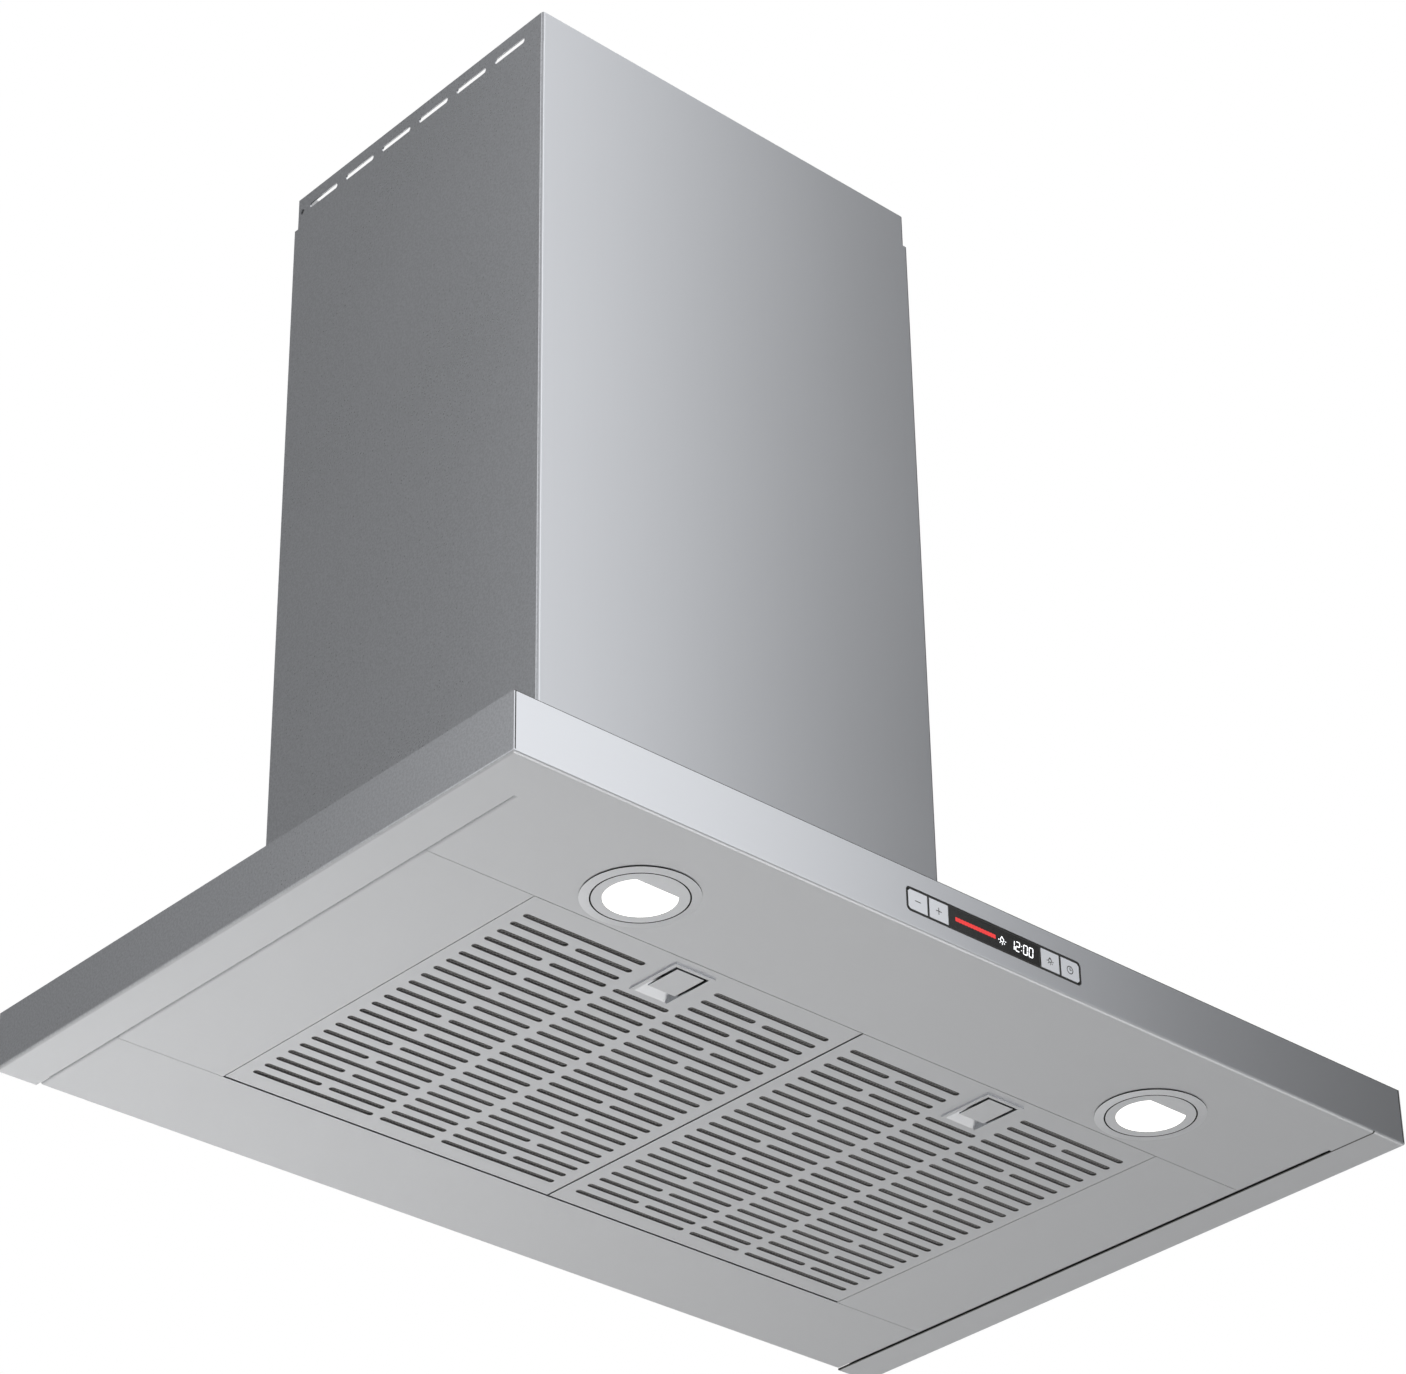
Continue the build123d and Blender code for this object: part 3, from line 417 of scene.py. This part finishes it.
finish_of_slot = {
    "outer_steel": canopy_steel,
    "latch_steel": latch_steel,
    "zinc_sheet": zinc_sheet(),
    "screw_steel": bare_metal("screw_steel", 0.55, 0.28, (500.0, 500.0, 500.0)),
    "bare_aluminium": bare_metal("bare_aluminium", 0.72, 0.32, (12.0, 700.0, 700.0)),
    "lamp_metal": lamp_metal(),
    "black_plastic": moulded_plastic("black_plastic", 0.012, 0.42),
    "grey_plastic": moulded_plastic("grey_plastic", 0.09, 0.45, 0.02),
    "white_plastic": moulded_plastic("white_plastic", 0.72, 0.40),
    "button_caps": brushed_steel("button_caps", ALONG_X, 0.80, 0.42),
    "motor_metal": painted_metal(),
    "circuit_board": circuit_board(),
    "display_glass": smoked_window(),
    "lamp_lens": glowing("lamp_lens", (1.0, 0.99, 0.97, 1.0), 1.2),
    "mesh_mat": moulded_plastic("mat_core", 0.02, 0.7),
}
print(len(finish_of_slot), "finishes by slot")

# %% Finishes on the solids
for name, node in nodes.items():
    finish = finish_of_slot[slot_of[name]]
    if "chimney" in name and slot_of[name] == "outer_steel":
        finish = chimney_steel
    for place in node.material_slots:
        place.material = finish
print("finished", len(nodes), "solids")

# %% [markdown]
# ## Round ends of the filter slots
# The filters' steel faces are punched with slots whose ends are half round. Shade is painted on the
# slots' walls and on a thin band round each: dark grey and not metal. The solids keep square ends
# to stay light. The faces could be rebuilt with every slot round, but it is enough to fill the four
# corners of each slot: each filler is the patch between a corner and a quarter circle. The painted
# shade lies within a set distance of the slots' outline.

# %% Slot layout, with the sizes of the filter's solid
SLOT_ROWS = 23
SLOT_WIDTH = 4.0
SLOT_BRIDGE = 7.0
SLOT_SIDE_MARGIN = 9.5
SLOT_FRONT_MARGIN = 20.8
SLOT_REAR_MARGIN = 17.3
CUP_ROWS = 3
FACE_SHEET = 0.8
FACE_WIDTH = 262.0
FACE_DEPTH = 298.6
HALF_SEAM = 0.7
FACE_FRONT = box_of("right_filter_face")[0][1]
FACE_MIDDLE = HALF_SEAM + FACE_WIDTH / 2
UNIT = (FACE_WIDTH - 2 * SLOT_SIDE_MARGIN - 4 * SLOT_BRIDGE) / 5
PITCH = (FACE_DEPTH - SLOT_FRONT_MARGIN - SLOT_REAR_MARGIN) / (SLOT_ROWS - 1)


def slot_table():
    """Middle x, middle y and length of every slot on the right filter."""
    step = UNIT + SLOT_BRIDGE
    pair = 2 * UNIT + SLOT_BRIDGE
    odd = [(-1.5 * step, pair), (0.0, UNIT), (1.5 * step, pair)]
    even = [(k * step, UNIT) for k in range(-2, 3)]
    rows = []
    for row in range(SLOT_ROWS):
        y = FACE_FRONT + SLOT_FRONT_MARGIN + row * PITCH
        rows += [(FACE_MIDDLE + x, y, length) for x, length in (even if row % 2 else odd)
                 if x or row >= CUP_ROWS]
    return np.array(rows)


slots = slot_table()
print(len(slots), "slots on each filter")

# %% Filter steel
PAD_MARGIN = 3.0
PAD_HALF = UNIT / 2 + PAD_MARGIN
PAD_REAR = FACE_FRONT + SLOT_FRONT_MARGIN + (CUP_ROWS - 0.5) * PITCH
SLOT_SHADE_WIDTH = 0.3


def slot_distance(place, across, y):
    """Distance to the nearest slot's round outline: sqrt(u^2 + v^2) - r.

    u is the way past the slot's straight part, and v the way off its row. A row of long slots has
    no outer bridge, so there that bridge is put far away.
    """
    step = UNIT + SLOT_BRIDGE
    radius = SLOT_WIDTH / 2 * MM
    row = (y - (FACE_FRONT + SLOT_FRONT_MARGIN) * MM) * (1 / (PITCH * MM))
    nearest = place.math("FLOOR", row + 0.5)
    long_row = place.math("FRACT", nearest * 0.5) < 0.25
    inner = SLOT_BRIDGE / 2 * MM - abs(across - step / 2 * MM)
    outer = SLOT_BRIDGE / 2 * MM - abs(across - 1.5 * step * MM) - long_row
    end = across - (2 * step + UNIT / 2) * MM
    past = place.math("MAXIMUM", place.math("MAXIMUM", inner, outer), end) + radius
    u = place.math("MAXIMUM", past, 0.0)
    v = (row - nearest) * (PITCH * MM)
    return place.math("SQRT", u * u + v * v) - radius


def painted_slot_shade(place):
    """1 where shade is painted: the slots' walls and a thin band round them, but not the latch's
    pad.
    """
    x, y, _ = place.split()
    across = abs(abs(x) - FACE_MIDDLE * MM)
    reach = FACE_DEPTH / 2 - SLOT_REAR_MARGIN + SLOT_WIDTH
    along = abs(y - (FACE_FRONT + FACE_DEPTH / 2) * MM) < reach * MM
    beside = (across > PAD_HALF * MM) + (y > PAD_REAR * MM)
    return (slot_distance(place, across, y) < SLOT_SHADE_WIDTH * MM) * along * (beside > 0.5)


# The filter steel gets painted shade on the slots' walls and round their outline.
filter_steel = brushed_steel("filter_steel", ALONG_X, cut=painted_slot_shade, shade_level=0.12)
for hand in ("left", "right"):
    for place in nodes[f"{hand}_filter_face"].material_slots:
        place.material = filter_steel
print("filter faces finished")

# %% Corner fillers


def corner_fillers(table, radius, steps=5):
    """Plan of each slot corner's filler: the corner, then the quarter circle r (cos t, sin t)."""
    t = np.linspace(0, math.pi / 2, steps)
    quarter = radius * (np.stack([np.cos(t), np.sin(t)], -1) - 1)
    patch = np.concatenate([np.zeros((1, 2)), quarter])
    signs = np.array([(1, 1), (-1, 1), (-1, -1), (1, -1)], float)
    turned = np.stack([patch[::sign] for sign in (1, -1, 1, -1)]) * signs[:, None]
    corner = np.stack([table[:, 2] / 2, np.full(len(table), radius)], -1)[:, None] * signs
    plan = (table[:, None, :2] + corner)[:, :, None] + turned
    return plan.reshape(-1, steps + 1, 2)


def slot_ends(side):
    """The corner fillers of one filter, as thick as its sheet; the left ones are mirrored in x."""
    plan = corner_fillers(slots, SLOT_WIDTH / 2)
    if side == "left":
        plan = plan[:, ::-1] * (-1, 1)
    shape = Shape()
    shape.plate(np.insert(plan, 2, UNDERSIDE, -1), (0, 0, FACE_SHEET))
    return shape.make(f"{side}_slot_ends", filter_steel, f"{side}_filter")


for hand in ("left", "right"):
    slot_ends(hand)

# %% [markdown]
# ## The wire mats behind the slots
# Behind each face lies a mat of fine expanded aluminium: thin strands that zigzag and touch their
# neighbours, so the holes are small diamonds. A bump could suggest it, but the strands show
# through the slots and when a filter hangs open. Each strand is a three-sided tube whose middle
# line zigzags. Fine strands lie below, coarser ones on top, and a core of packed layers keeps
# the light out between them; the core's dark colour is painted shade of the deeper layers.

# %% Strands of the mats
DIAMOND_X = 2.6
DIAMOND_Y = 1.5
STRAND = 0.32
LAYER = 0.8
FINE, COARSE = 1.0, 1.8
EDGE_GAP = 1
NOTCH_GAP = 1.5


def wire_mat():
    """Dull aluminium strands, darker where grease has dried on them."""
    material, feed, place = start_material("wire_mat")
    stain = place.noise((60.0, 60.0, 60.0), 2.0)
    feed(Base_Color=stain.mixed(grey(0.27, 0.01), grey(0.39, 0.01)), Metallic=0.8,
         Roughness=0.45 + stain * 0.2)
    return material


def shaded_layers():
    """Painted shade of the deeper layers: two crossing sine waves make dim diamonds on a dark
    ground.
    """
    material, feed, place = start_material("shaded_layers")
    x, y, _ = place.split()
    along = x * (2 * math.pi / (DIAMOND_X * MM))
    across = y * (2 * math.pi / (DIAMOND_Y * MM))
    waves = [place.math("SINE", along + across), place.math("SINE", along - across)]
    strand = abs(waves[0] * waves[1])
    feed(Base_Color=strand.mixed(grey(0.04), grey(0.16)), Roughness=0.6 + strand * 0.1)
    return material


def strand_layer(low, high, z, coarse):
    """A triangle carried along zigzags: y = row + a (-1)^(j + row) at every half diamond j."""
    x = np.arange(low[0] + EDGE_GAP, high[0] - EDGE_GAP, coarse * DIAMOND_X / 2)
    rows = np.arange(low[1] + coarse * DIAMOND_Y, high[1] - coarse * DIAMOND_Y, coarse * DIAMOND_Y)
    zigzag = (-1.0) ** (np.arange(len(x)) + np.arange(len(rows))[:, None])
    turn = np.array([0.0, 2.0, 4.0]) * math.pi / 3
    y = rows[:, None] + zigzag * (coarse * DIAMOND_Y - STRAND) / 2
    tube_y = y[:, None] - STRAND * np.cos(turn)[:, None]
    tube_z = (z + STRAND / 2 * zigzag)[:, None] + STRAND * np.sin(turn)[:, None]
    return np.stack([np.broadcast_to(x, tube_y.shape), tube_y, tube_z], -1)


def notched_plan(low, high, left, right, rear):
    """Outline of a mat, open at the front between left and right as far back as rear."""
    return [(low[0], low[1]), (low[0], high[1]), (high[0], high[1]), (high[0], low[1]),
            (right, low[1]), (right, rear), (left, rear), (left, low[1])]


def filter_mat(side):
    """A core with a notch for the latch pocket, fine strands below it and coarse ones above."""
    body = f"{side}_filter"
    low, high = box_of(f"{side}_filter_mesh")
    pocket_low, pocket_high = box_of(f"{side}_latch_housing")
    left, right = pocket_low[0] - NOTCH_GAP, pocket_high[0] + NOTCH_GAP
    rear = pocket_high[1] + NOTCH_GAP
    core = Shape()
    outline = [(x, y, low[2] + LAYER) for x, y in notched_plan(low, high, left, right, rear)]
    core.plate(outline, (0, 0, high[2] - low[2] - 2 * LAYER))
    core_piece = core.make(f"{side}_mat_core", core_shade_finish, body)
    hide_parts(f"{side}_filter_mesh")
    front, back = np.array_split(strand_layer(low, high, low[2] + LAYER / 2, FINE), 2)
    top = strand_layer(low, high, high[2] - LAYER / 2, COARSE)
    for name, layer in (("front_strands", front), ("rear_strands", back), ("top_strands", top)):
        beside = layer[:, 0, :, 1].min(-1) < rear
        x = layer[0, 0, :, 0]
        strands = Shape()
        for part in (layer[~beside], layer[beside][:, :, x < left], layer[beside][:, :, x > right]):
            if part.size:
                strands.tubes(part)
        strands.make(f"{side}_{name}", strand_finish, body)


strand_finish = wire_mat()
# The core's dark colour is painted shade of the mat's deeper layers.
core_shade_finish = shaded_layers()
for hand in ("left", "right"):
    filter_mat(hand)

# %% [markdown]
# ## Seams at the front corners
# The fascia and the sides are separate leaves of sheet that meet at the front corners, and a thin
# dark seam shows just beside each corner. A groove could be cut in the solid, but at this width a
# strip of shade is enough.

# %% Corner seams
SEAM_FROM, SEAM_TO = 0.75, 1.55
SEAM_FOOT = 2.2
SEAM_PROUD, SEAM_DEPTH = 0.02, 0.3
shell_low, shell_high = box_of("canopy_shell")
foot, top = UNDERSIDE + SEAM_FOOT, shell_high[2]
seams = Shape()
for x0, x1 in ((shell_low[0] + SEAM_FROM, shell_low[0] + SEAM_TO),
               (shell_high[0] - SEAM_TO, shell_high[0] - SEAM_FROM)):
    corners = ((x0, foot), (x1, foot), (x1, top), (x0, top))
    seams.plate([(x, shell_low[1] - SEAM_PROUD, z) for x, z in corners], (0, SEAM_DEPTH, 0))
seams.make("corner_seams", moulded_plastic("seam_shade", 0.03, 0.6), "hood")

# %% [markdown]
# ## Signs on the control strip
# The four buttons carry a minus, a plus, a lamp and a clock sign, and the window shows a red level
# bar, a lamp sign and a clock time. Text objects could write the time, but a real display is made
# of seven bars a digit. Every sign is a few flat plates, each an outline carried a hair's breadth
# along y.

# %% Strokes and rings
SIGN_DEPTH = 0.06
RAY_ANGLES = (-170, -130, -90, -50, -10)
STRIP_HEIGHT = sum(box_of("display_window"))[2] / 2
WINDOW_FACE = box_of("display_window")[0][1]
BUTTON_FACE = box_of("plus_button")[0][1]


def stroke(shape, face, start, end, width, steps=5):
    """A bar with round ends from start to end, drawn in x and z on a face of constant y."""
    a = np.array(start, float)
    b = np.array(end, float)
    heading = math.atan2(b[1] - a[1], b[0] - a[0])
    t = np.linspace(-math.pi / 2, math.pi / 2, steps)
    cap = np.stack([np.cos(t + heading), np.sin(t + heading)], -1) * width / 2
    flat = np.concatenate([b + cap, a - cap])
    shape.plate(np.insert(flat, 1, face - SIGN_DEPTH, -1), (0, SIGN_DEPTH, 0))


def ring_sign(shape, face, centre, radius, width, steps=32):
    """A flat ring: a rectangle of the width and the sign's depth, carried round a circle."""
    t = np.linspace(0, 2 * math.pi, steps, endpoint=False)
    reach = radius + width / 2 * np.array([1.0, -1.0, -1.0, 1.0])
    level = face - SIGN_DEPTH * np.array([1.0, 1.0, 0.0, 0.0])
    x = centre[0] + reach[:, None] * np.cos(t)
    z = centre[1] + reach[:, None] * np.sin(t)
    shape.grid(np.stack([x, np.broadcast_to(level[:, None], x.shape), z], -1), ring=True, tube=True)


def lamp_sign(shape, face, centre, size, width):
    """A bulb: a ring, a cap above it and short rays below and beside it."""
    x, z = centre
    radius, cap, lift = size * 0.42, size * 0.16, size * 0.6
    ray_from, ray_to = size * 0.72, size * 0.95
    ring_sign(shape, face, (x, z), radius, width)
    stroke(shape, face, (x - cap, z + lift), (x + cap, z + lift), width)
    for angle in RAY_ANGLES:
        ray = np.array([math.cos(math.radians(angle)), math.sin(math.radians(angle))])
        stroke(shape, face, (x, z) + ray * ray_from, (x, z) + ray * ray_to, width)


def middle_of(node):
    """Middle of a button's face: its own x, and the height of the strip."""
    low, high = box_of(node)
    return np.array([(low[0] + high[0]) / 2, STRIP_HEIGHT])


print("window face at", round(WINDOW_FACE, 2), "buttons at", round(BUTTON_FACE, 2))

# %% Signs on the buttons
SIGN_WIDTH = 0.55
SIGN_REACH = 2.2
PLUS_GAP = 0.4
BULB_SIZE, BULB_LIFT = 3.0, 0.3
CLOCK_RADIUS = 2.5
LONG_HAND, SHORT_HAND = 1.6, 1.2
ink = moulded_plastic("sign_ink", 0.05, 0.5)
for node in ("minus_button", "plus_button", "light_button", "timer_button"):
    x, z = middle_of(node)
    signs = Shape()
    if node in ("minus_button", "plus_button"):
        stroke(signs, BUTTON_FACE, (x - SIGN_REACH, z), (x + SIGN_REACH, z), SIGN_WIDTH)
    if node == "plus_button":
        stroke(signs, BUTTON_FACE, (x, z - SIGN_REACH), (x, z - PLUS_GAP), SIGN_WIDTH)
        stroke(signs, BUTTON_FACE, (x, z + PLUS_GAP), (x, z + SIGN_REACH), SIGN_WIDTH)
    if node == "light_button":
        lamp_sign(signs, BUTTON_FACE, (x, z + BULB_LIFT), BULB_SIZE, SIGN_WIDTH)
    if node == "timer_button":
        ring_sign(signs, BUTTON_FACE, (x, z), CLOCK_RADIUS, SIGN_WIDTH)
        stroke(signs, BUTTON_FACE, (x, z), (x, z + LONG_HAND), SIGN_WIDTH)
        stroke(signs, BUTTON_FACE, (x, z), (x + SHORT_HAND, z), SIGN_WIDTH)
    signs.make(f"{node}_sign", ink, node)

# %% Bars of the display
SEGMENTS = {"0": "abcdef", "1": "bc", "2": "abged"}
DIGIT_WIDTH = 3.2
DIGIT_HEIGHT = 6.4
DIGIT_BAR = 0.6
GAP_SHARE = 0.75
SLANT = 0.1
BULGE = 0.2


def digit(shape, sign, x, z):
    """Seven bars a to g of a digit, leaning a little to the right."""
    w = DIGIT_WIDTH / 2
    h = DIGIT_HEIGHT / 2
    gap = DIGIT_BAR * GAP_SHARE
    bars = {"a": ((-w + gap, h), (w - gap, h)), "g": ((-w + gap, 0), (w - gap, 0)),
            "d": ((-w + gap, -h), (w - gap, -h)),
            "b": ((w, gap), (w, h - gap)), "c": ((w, -h + gap), (w, -gap)),
            "f": ((-w, gap), (-w, h - gap)), "e": ((-w, -h + gap), (-w, -gap))}
    for bar in SEGMENTS[sign]:
        ends = [(x + u + SLANT * v, z + v) for u, v in bars[bar]]
        stroke(shape, WINDOW_FACE, *ends, DIGIT_BAR)


def level_bar(shape, x0, x1, z, height, waves, steps=8):
    """A bar of merged round segments: half height = h (1 - b + b |sin|) along x, b the bulge."""
    t = np.linspace(0, 1, waves * steps + 1)
    half = height / 2 * (1 - BULGE + BULGE * np.abs(np.sin(t * waves * math.pi)))
    x = x0 + (x1 - x0) * t
    flat = np.concatenate([np.stack([x, z - half], -1), np.stack([x, z + half], -1)[::-1]])
    shape.plate(np.insert(flat, 1, WINDOW_FACE - SIGN_DEPTH, -1), (0, SIGN_DEPTH, 0))


print(len(SEGMENTS), "digits known")

# %% Lit signs in the window
BULB_X, LIT_BULB_SIZE, LIT_BULB_WIDTH = 6.2, 3.4, 0.45
DIGIT_X = (15.0, 19.6, 26.2, 31.0)
COLON_X, COLON_LIFT, COLON_HALF = 22.9, 1.5, 0.05
LEVEL_FROM, LEVEL_TO = 4.6, 38.6
LEVEL_HEIGHT, LEVEL_WAVES = 3.0, 14
white_light = glowing("white_light", (0.95, 0.97, 1.0, 1.0), 1.4)
red_light = glowing("red_light", (0.60, 0.025, 0.025, 1.0), 0.7)

white_signs = Shape()
lamp_sign(white_signs, WINDOW_FACE, (BULB_X, STRIP_HEIGHT), LIT_BULB_SIZE, LIT_BULB_WIDTH)
for sign, x in zip("1200", DIGIT_X):
    digit(white_signs, sign, x, STRIP_HEIGHT)
for lift in (-COLON_LIFT, COLON_LIFT):
    x, z = COLON_X + SLANT * lift, STRIP_HEIGHT + lift
    stroke(white_signs, WINDOW_FACE, (x - COLON_HALF, z), (x + COLON_HALF, z), DIGIT_BAR)
white_signs.make("white_display_signs", white_light, "hood")

red_signs = Shape()
window_left = box_of("display_window")[0][0]
level_bar(red_signs, window_left + LEVEL_FROM, window_left + LEVEL_TO, STRIP_HEIGHT,
          LEVEL_HEIGHT, LEVEL_WAVES)
red_signs.make("red_display_signs", red_light, "hood")

# %% [markdown]
# ## Floor, light and camera
# The hood hangs high over a pale floor, in soft studio light. Steel shows what it mirrors, so the
# lights are placed where each face looks: a large panel in front for the fascia and the chimney,
# one at the left for the sides, and four small ones over the floor, whose bright pools the
# underside mirrors. A sky picture could do it too, but a few soft panels and a plain dome are
# easier to follow.

# %% Floor
FLOOR_LEVEL = -1700.0
FLOOR_HALF = 9000.0


def floor_paint():
    """Pale matt floor with faint clouds."""
    material, feed, place = start_material("floor_paint")
    cloud = place.noise((0.6, 0.6, 0.6), 2.0)
    feed(Base_Color=cloud.mixed(grey(0.78, -0.03), grey(0.84, -0.03)), Roughness=0.7)
    return material


u = np.linspace(-FLOOR_HALF, FLOOR_HALF, 3)
floor_x, floor_y = np.meshgrid(u, u)
floor_mesh = bpy.data.meshes.new("floor")
floor_points = np.stack([floor_x, floor_y, np.full(floor_x.shape, FLOOR_LEVEL)], -1) * MM
floor_quads = [(0, 1, 4, 3), (1, 2, 5, 4), (3, 4, 7, 6), (4, 5, 8, 7)]
floor_mesh.from_pydata(floor_points.reshape(-1, 3).tolist(), [], floor_quads)
floor_mesh.materials.append(floor_paint())
floor = bpy.data.objects.new("floor", floor_mesh)
bpy.context.scene.collection.objects.link(floor)
print("floor at", FLOOR_LEVEL)

# %% Lights


def soft_panel(name, place, target, width, height, power):
    """A rectangular area light at a place, in metres, turned to a target."""
    light = bpy.data.lights.new(name, "AREA")
    light.shape = "RECTANGLE"
    light.size = width
    light.size_y = height
    light.energy = power
    panel = bpy.data.objects.new(name, light)
    panel.location = place
    panel.rotation_euler = (Vector(target) - Vector(place)).to_track_quat("-Z", "Y").to_euler()
    bpy.context.scene.collection.objects.link(panel)


# Place, target, width and height in metres, then the power in watts.
PANELS = {
    "front_panel": ((0.58, -2.5, 2.6), (0.58, 0.0, 2.6), 3.2, 4.4, 60.0),
    "left_panel": ((-3.0, 1.1, 2.75), (0.0, 1.1, 2.75), 2.6, 5.5, 36.0),
    "floor_panel": ((1.1, 3.6, 0.1), (1.1, 3.6, -1.7), 1.6, 1.6, 44.0),
    "near_floor_panel": ((1.0, -0.7, -0.7), (1.0, -0.7, -1.7), 1.2, 1.2, 12.0),
    "front_floor_panel": ((1.8, -2.8, -0.3), (1.8, -2.8, -1.7), 1.6, 1.6, 25.0),
    "left_floor_panel": ((-2.6, 3.0, -0.5), (-2.6, 3.0, -1.7), 1.6, 1.6, 16.0),
}
for name, panel in PANELS.items():
    soft_panel(name, *panel)
print(len(PANELS), "panels")

# %% A dome, brighter at the horizon, at two corners and overhead
DOME_LEVEL, DOME_LEAN = 0.17, 0.11
world = bpy.data.worlds.new("studio")
bpy.context.scene.world = world
world.use_nodes = True
sky = Wire(world.node_tree)
x, y, z = sky.add("ShaderNodeTexCoord", {}, {}, "Generated").split()
dome = DOME_LEVEL - x * DOME_LEAN
# A wire, its two ends, and the light added at each end.
glows = ((abs(z), 0.0, 0.25, 0.45, 0.0), (abs(x + y), 0.6, 1.3, 0.0, 0.5), (z, 0.8, 1.0, 0.0, 0.5))
for place, start, end, low, high in glows:
    span = {"Value": place, "From Min": start, "From Max": end, "To Min": low, "To Max": high}
    dome = dome + sky.add("ShaderNodeMapRange", {}, span)
seen = sky.add("ShaderNodeLightPath", {}, {}, "Is Camera Ray")
level = dome + seen * (1.0 - dome)
background = world.node_tree.nodes["Background"]
world.node_tree.links.new(level.socket, background.inputs["Strength"])
background.inputs["Color"].default_value = (1.0, 1.0, 1.0, 1.0)
bpy.context.scene.view_settings.view_transform = "Standard"
print("dome with", len(glows), "brighter places")

# %% Camera
PHOTO_WIDTH = 1406
FOCAL_PIXELS = 4281.56
CAMERA_PLACE = (-1.646266, -1.791352, -1.220348)
PAN, TILT, ROLL = -0.741775, 0.563615, -0.016289
SENSOR_WIDTH = 36.0
ahead = math.cos(TILT)
forward = Vector((-math.sin(PAN) * ahead, math.cos(PAN) * ahead, math.sin(TILT)))
level_right = Vector((math.cos(PAN), math.sin(PAN), 0.0))
level_up = level_right.cross(forward)
right = math.cos(ROLL) * level_right + math.sin(ROLL) * level_up
up = math.cos(ROLL) * level_up - math.sin(ROLL) * level_right
camera_data = bpy.data.cameras.new("camera")
camera_data.sensor_width = SENSOR_WIDTH
camera_data.lens = FOCAL_PIXELS / PHOTO_WIDTH * SENSOR_WIDTH
camera = bpy.data.objects.new("camera", camera_data)
axes = Matrix((right, up, -forward)).transposed().to_4x4()
camera.matrix_world = Matrix.Translation(CAMERA_PLACE) @ axes
bpy.context.scene.collection.objects.link(camera)
bpy.context.scene.camera = camera
print("lens", round(camera_data.lens, 1), "mm")
